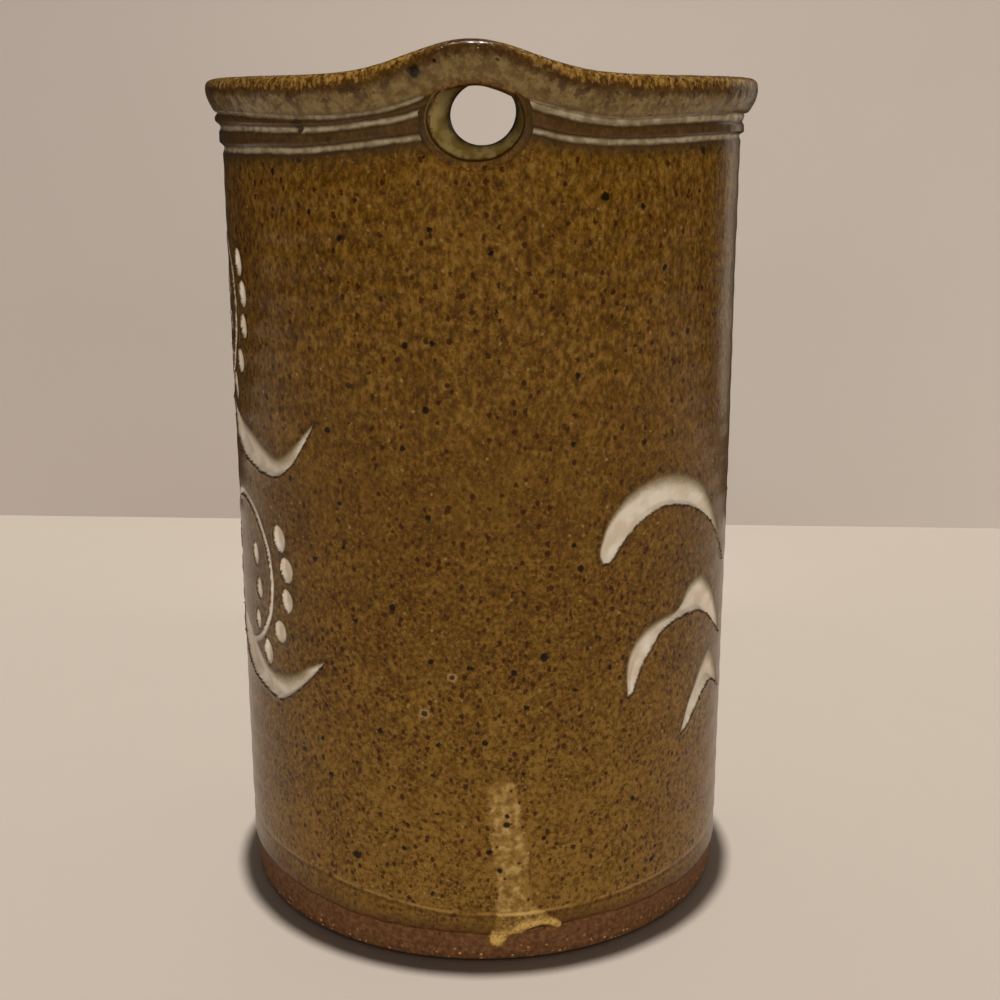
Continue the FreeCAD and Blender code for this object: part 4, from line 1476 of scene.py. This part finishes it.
@dataclass(frozen=True)
class Coat(Finish):
    """Finish of fired clay, which has a gloss and a fine relief of its own."""

    gloss: float = 0.24
    shine: float = 0.2
    relief: tuple[float, float] = (0.14, 0.5)

    def sockets(self, sheet: PaintSheet, height: Signal) -> dict[str, object]:
        """What the shader takes, with a height for the relief."""
        return {"Base Color": sheet.colour, "Roughness": self.gloss, "Specular IOR Level": self.shine,
                "Normal": sheet.bump(height, *self.relief)}


@dataclass(frozen=True)
class AmberGlaze(Coat):
    """Olive-amber glaze, mottled, with iron specks."""

    deep: Colour = paint(58, 35, 3)
    dark: Colour = paint(79, 51, 7)
    middle: Colour = paint(98, 66, 13)
    light: Colour = paint(124, 90, 34)
    russet: Colour = paint(66, 34, 2)
    iron: Colour = paint(50, 21, 0)
    black: Colour = paint(14, 5, 0)
    fleck: Colour = paint(160, 128, 76)
    big_specks: Sequence[Triple] = (
        (20.3, 136.4, 0.75), (10.5, 58.8, 0.8), (-24.4, 18.9, 0.8), (42.7, 143.3, 0.7), (2.1, 23.9, 0.6),
        (-28.1, 97.5, 0.6), (-9.6, 102.3, 0.65), (-16.1, 67.5, 0.6),
    )

    def body(self, sheet: PaintSheet) -> Signal:
        """Paints the glaze's own colour.

        Args:
            sheet: The material's sheet.

        Returns:
            A height that a bump can use.
        """
        up = sheet.along("Z")
        high = up.step(60.0, 115.0)
        ground = sheet.noise(0.95, 5.0, 0.66) * (1 - high) + sheet.noise(1.0, 5.0, 0.62, stretch=1.5) * high
        # Lighter towards the bottom.
        paler = up.step(75.0, 12.0) * 0.085
        clouds = (sheet.noise(7.0, 3.0) - 0.5) * 0.2
        sheet.colour = sheet.ramp(ground + clouds + paler, (0.32, self.deep), (0.43, self.dark),
                                  (0.52, self.middle), (0.66, self.light))
        blotch = sheet.noise(0.5, 2.0, 0.6, stretch=1.2)
        russet = (blotch + (sheet.noise(5.0, 2.0) - 0.5) * 0.5).step(0.56, 0.66)
        sheet.lay(russet * (0.7 - high * 0.2), self.russet)
        golden = blotch.step(0.42, 0.3)
        sheet.lay(golden * 0.62, self.light)
        fine_specks = sheet.dots(1.35, 0.62, (0.2, 0.34), stretch=1.2, ragged=0.5)
        sheet.lay(fine_specks * (0.78 - high * 0.3), self.iron)
        specks = sheet.dots(2.1, 0.62, (0.17, 0.24), stretch=1.2, ragged=0.4)
        sheet.lay(specks * 0.9, self.iron)
        spots = sheet.dots(5.0, 0.5, (0.09, 0.13), ragged=0.2)
        sheet.lay(spots * 0.95, self.black)
        flecks = sheet.dots(2.3, 0.4, (0.06, 0.16))
        sheet.lay(flecks * 0.5, self.fleck)
        return ground * 0.5 - russet * 0.2 + specks * 0.2 + spots * 0.6 + sheet.noise(2.4, 2.0) * 0.9

    def speckle(self, sheet: PaintSheet) -> None:
        """Adds the few big specks that stand out on the back."""
        marks = [sheet.spot(arc, height, radius) for arc, height, radius in self.big_specks]
        joined = marks[0]
        for mark in marks[1:]:
            joined = joined.most(mark)
        sheet.lay(joined * 0.95, self.black)

    def paint_on(self, sheet: PaintSheet) -> dict[str, object]:
        """The plain glaze."""
        return self.sockets(sheet, self.body(sheet))


@dataclass(frozen=True)
class GougedGlaze(AmberGlaze):
    """Glaze of the wall, with white pooled in the gouges."""

    white: Colour = paint(216, 202, 183)
    cream: Colour = paint(201, 183, 159)
    veil: Colour = paint(122, 108, 72)
    ochre: Colour = paint(150, 112, 58)
    pits: Sequence[Triple] = ((-10.6, 48.5, 0.95), (-5.6, 55.5, 0.85))

    def paint_on(self, sheet: PaintSheet) -> dict[str, object]:
        """Adds the whites, their edges, the trim line and the halo under the bands."""
        height = self.body(sheet)
        self.speckle(sheet)
        under_line, over_trim = sheet.mark("under_line"), sheet.mark("over_trim")
        over_edge, crisp, soft = sheet.mark("over_edge"), sheet.mark("crisp"), sheet.mark("soft")
        ragged = sheet.noise(1.1, 2.0) - 0.5
        thin = sheet.noise(0.55, 3.0, 0.6) - 0.5
        sheet.lay((under_line + ragged * 2.4).step(3.4, 0.8) * 0.72, paint(58, 42, 18))
        for arc, place, radius in self.pits:
            sheet.lay(sheet.spot(arc, place, radius) * 0.5, paint(176, 142, 92))
            sheet.lay(sheet.spot(arc, place, radius * 0.62), paint(60, 38, 18))
        self.foot_marks(sheet, over_trim, over_edge, ragged)
        whiteness = sheet.mark("white")
        fade = 1 - (whiteness * 2 - 1).size()
        cover = (whiteness + thin * 0.55 * fade).least(1.0)
        fringe = soft.step(-1.5, -0.3) * soft.step(0.8, 0.0) * crisp.step(-0.4, 0.2)
        blotches = (thin + sheet.noise(1.6, 2.0) - 0.45).step(0.0, 0.14)
        sheet.lay(fringe * blotches * 0.7, self.iron)
        pooled = sheet.blend(sheet.noise(3.4, 2.0).step(0.38, 0.62), self.cream, self.white)
        sheet.lay(cover.step(0.0, 0.3) * 0.85, self.veil)
        sheet.lay(cover.step(0.12, 0.95), pooled)
        beaded = crisp + thin * 0.5
        edge = beaded.step(-0.52, -0.3) * beaded.step(0.1, -0.05) * soft.step(-0.3, 0.0)
        sheet.lay(edge * (ragged + 0.6).step(0.42, 0.62) * 0.75, paint(58, 32, 8))
        return self.sockets(sheet, height * (1 - cover * 0.85)) | {"Roughness": self.gloss + cover * 0.16}

    def foot_marks(self, sheet: PaintSheet, over_trim: Signal, over_edge: Signal, ragged: Signal) -> None:
        """The line turned above the foot and the rolled lower edge of the glaze."""
        trim = (over_trim - 0.15 + ragged * 0.5).size().step(0.5, 0.12)
        sheet.lay(trim * sheet.noise(5.0, 1.0).step(0.36, 0.56) * 0.6, self.ochre)
        groove = (over_trim + 0.55 + ragged * 0.4).size().step(0.6, 0.15)
        sheet.lay(groove * 0.5, self.deep)
        sheet.lay((over_trim + ragged).step(0.0, -2.4) * 0.3, self.dark)
        russet = (over_edge + ragged * 2.6).step(3.4, 0.2)
        sheet.lay(russet * 0.75, paint(74, 44, 18))


@dataclass(frozen=True)
class BandGlaze(AmberGlaze):
    """Glaze of the turned bands, with pale lines pooled between them."""

    pale: Colour = paint(160, 145, 116)
    greyed: Colour = paint(124, 107, 78)
    hollow: Colour = paint(60, 43, 24)

    def line(self, sheet: PaintSheet) -> None:
        """Lays the pooled lines over the glaze."""
        inside = sheet.mark("pale") + (sheet.noise(0.9, 2.0) - 0.5) * 0.3
        sheet.lay(inside.step(-0.9, -0.1) * 0.45, self.hollow)
        pooled = sheet.blend(sheet.noise(1.6, 3.0).step(0.35, 0.62), self.greyed, self.pale)
        sheet.lay(inside.step(-0.3, 0.3) * 0.94, pooled)

    def paint_on(self, sheet: PaintSheet) -> dict[str, object]:
        """Adds the lines and the scorched nick."""
        height = self.body(sheet)
        sheet.lay(0.74, self.hollow)
        self.line(sheet)
        sheet.lay(sheet.mark("burnt").step(0.2, 0.8), paint(52, 36, 24))
        return self.sockets(sheet, height)


@dataclass(frozen=True)
class RimGlaze(BandGlaze):
    """Glaze of the rolled rim, khaki below and golden where it thins over the top, with a painted dark
    reflection on the crest and a painted highlight along its top edge.
    """

    gloss: float = 0.19
    shine: float = 0.36
    relief: tuple[float, float] = (0.24, 0.9)
    khaki: Colour = paint(118, 97, 56)
    drab: Colour = paint(88, 66, 30)
    gold: Colour = paint(144, 110, 54)
    bronze: Colour = paint(100, 69, 24)
    burnt: Colour = paint(52, 29, 5)
    paler: Colour = paint(196, 162, 104)
    blots: Sequence[Triple] = (
        (-9.9, 155.6, 1.05), (-5.1, 155.5, 0.6), (-0.4, 155.7, 0.5), (-6.9, 157.2, 0.5), (2.2, 157.3, 0.5),
    )

    def paint_on(self, sheet: PaintSheet) -> dict[str, object]:
        """Adds the zones from the foot of the roll to the inside of the mouth."""
        height = self.body(sheet)
        roll = sheet.mark("roll")
        drawn = sheet.noise(0.75, 4.0, 0.68, stretch=1.6)
        broad = sheet.noise(3.6, 3.0, 0.6)
        place = roll + (drawn - 0.5) * 0.5 + (broad - 0.5) * 0.4
        across = sheet.along("X")
        back = sheet.along("Y").step(0.0, -10.0)
        crest = (across + 1.7).size().step(15.0, 5.0) * back
        khaki = sheet.blend(sheet.noise(1.7, 4.0, 0.65).step(0.4, 0.6), self.drab, self.khaki)
        sheet.lay(place.step(-0.22, 0.12) * place.step(0.74, 0.5) * 0.84, khaki)
        patches = (sheet.noise(2.0, 3.0, 0.6) + broad * 0.3).step(0.66, 0.74) * (1 - crest * 0.6)
        sheet.lay(patches * roll.step(0.1, 0.3) * 0.7, self.burnt)
        gold = place.step(0.62, 0.8) * roll.step(1.8, 1.4)
        golden = sheet.ramp(drawn, (0.38, self.burnt), (0.48, self.bronze), (0.6, self.gold))
        sheet.lay(gold * 0.92, golden)
        sheet.lay(sheet.dots(1.0, 0.5, (0.12, 0.32), stretch=1.4) * gold * 0.8, self.burnt)
        fringe = place.step(0.44, 0.56) * place.step(0.8, 0.66)
        sheet.lay(fringe * 0.6, self.burnt)
        # Painted dark reflection on the crest, under its highlight.
        crest_dark_reflection = crest * (place + (drawn - 0.5) * 0.4).step(0.56, 0.68) * roll.step(0.86, 0.78)
        sheet.lay(crest_dark_reflection * 0.75, self.burnt)
        # Painted highlight: a pale edge along the top of the roll.
        edge = (roll + (drawn - 0.5) * 0.24).step(0.95, 1.04) * roll.step(1.8, 1.4)
        sheet.lay(edge * 0.6, self.paler)
        for arc, place_up, radius in self.blots:
            sheet.lay(sheet.spot(arc, place_up, radius, reach=51.0) * 0.95, self.black)
        self.line(sheet)
        return self.sockets(sheet, height)


@dataclass(frozen=True)
class CollarGlaze(AmberGlaze):
    """Glaze of the oval collar: khaki in the funnel, with painted shade round its edges and down into the
    bore.
    """

    khaki: Colour = paint(134, 114, 66)
    olive: Colour = paint(104, 82, 36)
    grey: Colour = paint(114, 98, 66)
    shadow: Colour = paint(60, 43, 20)

    def paint_on(self, sheet: PaintSheet) -> dict[str, object]:
        """Adds the zones from the skirt over the lip and down the funnel to the bore."""
        height = self.body(sheet)
        wander = sheet.noise(1.1, 3.0, 0.6) - 0.5
        place = sheet.mark("throat") + wander * 0.05
        around, rightward = sheet.mark("around"), sheet.mark("rightward")
        # Painted shade darkens the lip at its sides.
        beside = (around.size() + wander * 0.5).step(0.85, 0.35)
        lip = sheet.blend(rightward.step(-0.3, -0.8) * place.step(0.28, 0.33) * 0.5, self.shadow, self.grey)
        sheet.lay(beside.most((place + wander * 0.2).step(0.2, 0.36) * 0.8) * 0.84, lip)
        line = place.step(0.34, 0.38) * place.step(0.45, 0.41)
        funnel = sheet.blend(sheet.noise(2.2, 3.0).step(0.4, 0.6), self.olive, self.khaki)
        sheet.lay(place.step(0.38, 0.43) * 0.94, funnel)
        sheet.lay(line * 0.85, self.iron)
        # Painted shade on the upper and right parts of the funnel.
        shaded = around.step(0.2, 0.8).most(rightward.step(0.4, 0.95) * 0.7)
        sheet.lay(shaded * place.step(0.4, 0.46) * 0.75, self.shadow)
        # Painted shade: the funnel darkens into the bore.
        sheet.lay((place + wander * 0.1).step(0.46, 0.56) * 0.85, paint(42, 29, 12))
        return self.sockets(sheet, height)


@dataclass(frozen=True)
class BareClay(Coat):
    """Unglazed stoneware, brown-red and sandy."""

    gloss: float = 0.78
    shine: float = 0.25
    relief: tuple[float, float] = (0.2, 0.6)
    dark: Colour = paint(77, 48, 27)
    middle: Colour = paint(94, 61, 35)
    light: Colour = paint(116, 78, 47)

    def paint_on(self, sheet: PaintSheet) -> dict[str, object]:
        """Sandy clay with darker pits and orange grains."""
        grain = sheet.noise(0.9, 5.0, 0.62)
        sheet.colour = sheet.ramp(grain, (0.36, self.dark), (0.5, self.middle), (0.66, self.light))
        pits = sheet.dots(1.7, 0.4, (0.08, 0.2))
        sheet.lay(pits * 0.6, paint(44, 26, 14))
        up = sheet.along("Z")
        sand = sheet.dots(1.2, 0.55, (0.17, 0.28)) * (up.step(4.2, 1.6) * 0.85 + 0.08)
        sheet.lay(sand * 0.9, paint(190, 134, 86))
        return self.sockets(sheet, grain + sand - pits)


@dataclass(frozen=True)
class AshRun(AmberGlaze):
    """Pale ochre run of ash glaze that thins out into the amber."""

    gloss: float = 0.28
    deep_ochre: Colour = paint(106, 74, 26)
    ochre: Colour = paint(140, 106, 50)
    pale: Colour = paint(174, 142, 86)
    toe: Colour = paint(200, 160, 88)
    brown: Colour = paint(84, 54, 18)
    big_specks: Sequence[Triple] = ((3.9, 29.4, 0.45), (3.9, 27.7, 0.6), (2.6, 18.8, 0.45))

    def paint_on(self, sheet: PaintSheet) -> dict[str, object]:
        """Ochre with the amber's specks showing through, brighter along the toe."""
        height = self.body(sheet)
        run, over_edge, over_trim = sheet.mark("run"), sheet.mark("over_edge"), sheet.mark("over_trim")
        fine = sheet.noise(0.6, 3.0, 0.65) - 0.5
        broad = sheet.noise(2.6, 2.0) - 0.5
        mottle = sheet.noise(1.5, 3.0, 0.6)
        ochre = sheet.ramp(mottle, (0.36, self.deep_ochre), (0.5, self.ochre), (0.64, self.pale))
        fading = over_edge.step(29.5, 20.0) * 0.45
        cover = (run * 0.75 + fine * 1.7 + broad * 2.0 + fading - 0.38).step(0.0, 0.75)
        sheet.lay(cover * 0.9, ochre)
        self.speckle(sheet)
        dotted = sheet.dots(1.5, 0.55, (0.16, 0.27))
        sheet.lay(dotted * over_edge.step(2.0, 5.0) * 0.85, self.iron)
        brown = over_trim.step(0.2, -0.6) * over_edge.step(0.4, 1.6) * (run + broad * 2).step(0.3, 0.9)
        sheet.lay(brown * (fine + 0.5).step(0.42, 0.56) * 0.85, self.brown)
        across = sheet.along("X")
        toe = (over_edge + broad * 2.5 - across.step(4.5, 7.0) * 1.5).step(1.4, 0.3) * run.step(0.05, 0.35)
        sheet.lay(toe * 0.85, sheet.blend((fine + 0.5).step(0.35, 0.6), self.ochre, self.toe))
        trim = (over_trim - 0.1).size().step(0.5, 0.15)
        sheet.lay(trim * 0.6, self.toe)
        return self.sockets(sheet, height)


@dataclass(frozen=True)
class PlainCoat(Finish):
    """Quiet surface with a faint grain, such as the floor's; its colour may drift along X towards a lighter
    end, as painted light.
    """

    colour: Colour
    roughness: float = 0.9
    unevenness: float = 0.02
    grain: float = 30.0
    painted_light_end: Colour | None = None

    def paint_on(self, sheet: PaintSheet) -> dict[str, object]:
        """The colour, barely uneven."""
        uneven = 1 + (sheet.noise(self.grain, 2.0) - 0.5) * self.unevenness
        # Painted light: the colour drifts along X towards the lighter end where one is given.
        colour = sheet.blend(sheet.along("X").step(-220.0, 220.0), self.colour, self.painted_light_end or self.colour)
        return {"Base Color": sheet.shade(colour, uneven), "Roughness": self.roughness}


AMBER_FINISH = GougedGlaze("amber_wall_glaze")
BAND_FINISH = BandGlaze("amber_band_glaze")
RIM_FINISH = RimGlaze("amber_rim_glaze")
COLLAR_FINISH = CollarGlaze("amber_collar_glaze")
INSIDE_FINISH = AmberGlaze("amber_inside_glaze", gloss=0.36)
CRUMB_FINISH = PlainCoat("scorched_crumbs", paint(44, 25, 10), 0.35, 0.5, 0.6)
GRAIN_FINISH = PlainCoat("coarse_grain", paint(150, 118, 84), 0.8, 0.4, 0.5)
BARE_FINISH = BareClay("sandy_stoneware")
RUN_FINISH = AshRun("ash_run")
FLOOR_FINISH = PlainCoat("studio_floor", paint(185, 173, 159))
# The backdrop is painted lighter towards +X, as painted light from the right.
BACKDROP_FINISH = PlainCoat("studio_backdrop", paint(199, 187, 178), painted_light_end=paint(206, 195, 184))


class ShapeTree(Sheet, ABC):
    """Geometry Nodes tree with named sizes and a seed, which ends in real faces and a material."""

    sizes: Sequence[str] = ()

    def __init__(self, name: str) -> None:
        """Makes the tree with its inputs and builds it."""
        tree = bpy.data.node_groups.new(name, "GeometryNodeTree")
        super().__init__(tree)
        kinds = [("Geometry", "Geometry"), *((size, "Float") for size in self.sizes), ("Seed", "Int"),
                 ("Material", "Material")]
        for label, kind in kinds:
            tree.interface.new_socket(label, in_out="INPUT", socket_type="NodeSocket" + kind)
        tree.interface.new_socket("Geometry", in_out="OUTPUT", socket_type="NodeSocketGeometry")
        self.start = self.add("NodeGroupInput", output="Geometry")
        real = self.add("GeometryNodeRealizeInstances", {}, {"Geometry": self.build()})
        dressed = self.add("GeometryNodeSetMaterial", {},
                           {"Geometry": real, "Material": self.asked("Material")})
        self.add("NodeGroupOutput", {}, {0: dressed})

    @abstractmethod
    def build(self) -> Signal:
        """The nodes between the input and the last two, and the geometry that they end in."""

    def asked(self, label: str) -> Signal:
        """One of the named inputs."""
        return self.start.peer(label)

    def chance(self, low: Triple, high: Triple, seed: Signal) -> Signal:
        """Random vector for each point, between two vectors."""
        return self.add("FunctionNodeRandomValue", {"data_type": "FLOAT_VECTOR"},
                        {"Min": low, "Max": high, "Seed": seed}, output="Value")

    def apply(self, piece: Object, values: Mapping[str, float], finish: Finish) -> None:
        """Runs the tree on an object and leaves a plain mesh.

        Args:
            piece: The object that the tree starts from.
            values: A value for each named input.
            finish: Finish of the result.
        """
        modifier = piece.modifiers.new("shape", "NODES")
        modifier.node_group = self.tree
        wanted = {**values, "Material": finish.material()}
        for item in self.tree.interface.items_tree:
            if item.in_out == "INPUT" and item.name in wanted:
                modifier[item.identifier] = wanted[item.name]
        seen = piece.evaluated_get(bpy.context.evaluated_depsgraph_get())
        mesh = bpy.data.meshes.new_from_object(seen)
        piece.modifiers.clear()
        piece.data = mesh
        if signed_volume(mesh) < 0:
            mesh.flip_normals()


class RidgeTree(ShapeTree):
    """Raises throwing ridges on the inside of a round wall."""

    sizes = ("Pitch", "Height", "Radius", "Foot")

    def build(self) -> Signal:
        """Moves the inner points inwards along a spiral wave."""
        place = self.add("GeometryNodeInputPosition")
        parts = self.add("ShaderNodeSeparateXYZ", {}, {"Vector": place}, output="X")
        across, deep, up = parts, parts.peer("Y"), parts.peer("Z")
        flat = self.add("ShaderNodeCombineXYZ", {}, {"X": across, "Y": deep})
        way = self.vector("LENGTH", flat, output="Value")
        turn = self.add("ShaderNodeMath", {"operation": "ARCTAN2"}, {0: deep, 1: across})
        drift = self.add("ShaderNodeTexNoise", {"noise_dimensions": "4D"},
                         {"Vector": place, "W": self.asked("Seed"), "Scale": 45.0, "Detail": 1.0})
        wave = (up / self.asked("Pitch") * math.tau + turn + drift * 3.0).sine() * 0.5 + 0.5
        inside = way.below(self.asked("Radius") + 0.1 * MM)
        above = (up - self.asked("Foot")) / (6 * MM)
        amount = wave * self.asked("Height") * inside * above.step(0.0, 1.0)
        offset = self.vector("SCALE", self.vector("NORMALIZE", flat), Scale=amount * -1.0)
        return self.add("GeometryNodeSetPosition", {}, {"Geometry": self.start, "Offset": offset})


class GrainTree(ShapeTree):
    """Scatters coarse grains over the bare side of the foot."""

    sizes = ("Density", "Grain Size", "Lowest", "Highest")

    def build(self) -> Signal:
        """Puts a small faceted grain at each scattered point."""
        place = self.add("GeometryNodeInputPosition")
        up = self.add("ShaderNodeSeparateXYZ", {}, {"Vector": place}, output="Z")
        normal = self.add("GeometryNodeInputNormal")
        side = self.add("ShaderNodeSeparateXYZ", {}, {"Vector": normal}, output="Z").size().below(0.5)
        wanted = up.above(self.asked("Lowest")) * up.below(self.asked("Highest"))
        points = self.add("GeometryNodeDistributePointsOnFaces", {}, {
            "Mesh": self.start, "Selection": wanted * side, "Density": self.asked("Density"),
            "Seed": self.asked("Seed")}, output="Points")
        grain = self.add("GeometryNodeMeshIcoSphere", {},
                         {"Radius": self.asked("Grain Size"), "Subdivisions": 1})
        size = self.add("FunctionNodeRandomValue", {"data_type": "FLOAT"},
                        {"Min_001": 0.35, "Max_001": 1.0, "Seed": self.asked("Seed")}, output="Value_001")
        turn = self.chance((0, 0, 0), (6.28, 6.28, 6.28), self.asked("Seed"))
        return self.add("GeometryNodeInstanceOnPoints", {}, {
            "Points": points, "Instance": grain, "Rotation": turn, "Scale": size})


class CrumbTree(ShapeTree):
    """Strings melted crumbs along paths."""

    sizes = ("Spacing", "Crumb Size", "Scatter")

    def build(self) -> Signal:
        """Puts a crumb at even steps along each path, a little out of line."""
        curve = self.add("GeometryNodeMeshToCurve", {}, {"Mesh": self.start})
        steps = self.add("GeometryNodeResampleCurve", {"mode": "LENGTH"},
                         {"Curve": curve, "Length": self.asked("Spacing")})
        aside = self.chance((-1, -1, -1), (1, 1, 1), self.asked("Seed"))
        offset = self.vector("SCALE", aside, Scale=self.asked("Scatter"))
        moved = self.add("GeometryNodeSetPosition", {}, {"Geometry": steps, "Offset": offset})
        crumb = self.add("GeometryNodeMeshIcoSphere", {},
                         {"Radius": self.asked("Crumb Size"), "Subdivisions": 2})
        size = self.chance((0.3, 0.3, 0.3), (1.1, 1.1, 1.5), self.asked("Seed") + 4)
        crumbs = self.add("GeometryNodeInstanceOnPoints", {},
                          {"Points": moved, "Instance": crumb, "Scale": size})
        return self.add("GeometryNodeSetShadeSmooth", {}, {"Geometry": crumbs})


DAYLIGHT: Triple = (1.0, 0.985, 0.965)


@dataclass(frozen=True)
class Softbox:
    """Rectangular lamp in metres and watts, which looks at the vase unless it has a turn of its own.

    The camera doesn't see it, and a gloss only does where that is asked for.
    """

    name: str
    place: Triple
    size: tuple[float, float]
    power: float
    tint: Triple = DAYLIGHT
    turn: Triple | None = None
    in_gloss: bool = False

    def build(self) -> Object:
        """Hangs the lamp."""
        light = bpy.data.lights.new(self.name, "AREA")
        light.shape = "RECTANGLE"
        light.size, light.size_y = self.size
        light.energy, light.color = self.power, self.tint
        lamp = linked(self.name, light)
        lamp.location = self.place
        to_vase = Vector((0, 0, 0.08)) - Vector(self.place)
        lamp.rotation_euler = self.turn or to_vase.to_track_quat("-Z", "Y").to_euler()
        lamp.visible_glossy, lamp.visible_camera = self.in_gloss, False
        return lamp


@dataclass
class Stage:
    """Floor, backdrop, lights and camera."""

    reach: float = 1.2
    near_end: float = -1.4
    backdrop_height: float = 1.4
    backdrop_y: float = 0.247
    backdrop_slope: float = -0.0645
    sun_strength: float = 3.2
    sun_width: float = 1.2
    sun_lean: float = -0.4
    front: Softbox = Softbox("front_softbox", (0.0, -1.25, 0.3), (1.3, 0.5), 11.4)
    side: Softbox = Softbox("side_softbox", (0.9, 0.05, 0.3), (0.24, 0.5), 1.2)
    edge: Softbox = Softbox("edge_softbox", (0.4, 0.46, 0.2), (0.16, 0.5), 0.18, (1.0, 0.84, 0.66),
                            in_gloss=True)
    behind: Softbox = Softbox("backdrop_lamp", (0.0, 0.11, 0.04), (0.08, 0.03), 0.07,
                              turn=(math.radians(125), 0.0, 0.0))
    fill: float = 0.1
    fill_in_gloss: float = 0.2
    camera_place: Triple = (0.0, -0.28356, 0.15024)
    camera_turn: float = -0.658
    camera_pitch: float = 14.97
    camera_roll: float = -0.068
    lens: float = 52.83

    def plane(self, name: str, corners: Sequence[Triple], finish: Finish) -> Object:
        """One flat stage surface, its corners in metres."""
        mesh = bpy.data.meshes.new(name)
        mesh.from_pydata(list(corners), [], [tuple(range(len(corners)))])
        mesh.materials.append(finish.material())
        surface = linked(name, mesh)
        return surface

    def build(self) -> None:
        """Builds the whole stage."""
        low, high, near, reach = -0.02 * MM, self.backdrop_height, self.near_end, self.reach
        left, right = (self.backdrop_y + self.backdrop_slope * side for side in (-reach, reach))
        far_left, far_right = (-reach, left, low), (reach, right, low)
        near_left, near_right = (-reach, near, low), (reach, near, low)
        floor = self.plane("floor", [near_left, near_right, far_right, far_left], FLOOR_FINISH)
        backdrop = self.plane("backdrop", [far_left, far_right, (reach, right, high), (-reach, left, high)],
                              BACKDROP_FINISH)
        backdrop.visible_shadow = backdrop.visible_glossy = False
        self.lights(floor)
        self.world()
        self.camera()

    def lights(self, floor: Object) -> None:
        """Hangs the lamps; the softboxes leave the floor to the light from above."""
        overhead = bpy.data.lights.new("overhead_light", "SUN")
        overhead.energy, overhead.angle = self.sun_strength, math.radians(self.sun_width)
        overhead.color = DAYLIGHT
        linked("overhead_light", overhead).rotation_euler = (math.radians(self.sun_lean), 0.0, 0.0)
        self.behind.build()
        spared = bpy.data.collections.new("spared_by_softboxes")
        spared.objects.link(floor)
        spared.collection_objects[0].light_linking.link_state = "EXCLUDE"
        for softbox in (self.front, self.side, self.edge):
            softbox.build().light_linking.receiver_collection = spared

    def world(self) -> None:
        """Dim even light from all round, dimmer still in the gloss."""
        world = bpy.data.worlds.new("soft_room")
        bpy.context.scene.world = world
        world.use_nodes = True
        sheet = Sheet(world.node_tree)
        seen_in_gloss = sheet.add("ShaderNodeLightPath", output="Is Glossy Ray")
        strength = self.fill * (1 - seen_in_gloss * (1 - self.fill_in_gloss))
        sky = sheet.add("ShaderNodeBackground", {}, {"Color": (*DAYLIGHT, 1.0), "Strength": strength})
        sheet.add("ShaderNodeOutputWorld", {}, {"Surface": sky})

    def camera(self) -> None:
        """Camera at the photograph's place."""
        lens = bpy.data.cameras.new("photo_camera")
        lens.lens, lens.sensor_width = self.lens, 36.0
        lens.clip_start = 0.01
        camera = linked("photo_camera", lens)
        turn = Matrix.Rotation(math.radians(self.camera_turn), 4, "Z")
        tip = Matrix.Rotation(math.radians(90 - self.camera_pitch), 4, "X")
        roll = Matrix.Rotation(math.radians(self.camera_roll), 4, "Z")
        camera.matrix_world = Matrix.Translation(Vector(self.camera_place)) @ turn @ tip @ roll
        bpy.context.scene.camera = camera
        bpy.context.scene.view_settings.view_transform = "Standard"


def main() -> None:
    """Builds the stage, then every sub-assembly of the vase."""
    logging.basicConfig(level=logging.INFO, format="%(message)s")
    Stage().build()
    parts: list[Piece] = [
        BareFoot(), ClayWall(), InsideGlaze(), WallSkin(), TurnedBands(), RolledRim(), COLLAR, GlazeRun(),
        EdgeCrumbs(),
    ]
    for part in parts:
        built = part.build()
        log.info("%s built %d pieces", type(part).__name__, len(built))


if __name__ == "__main__":
    main()
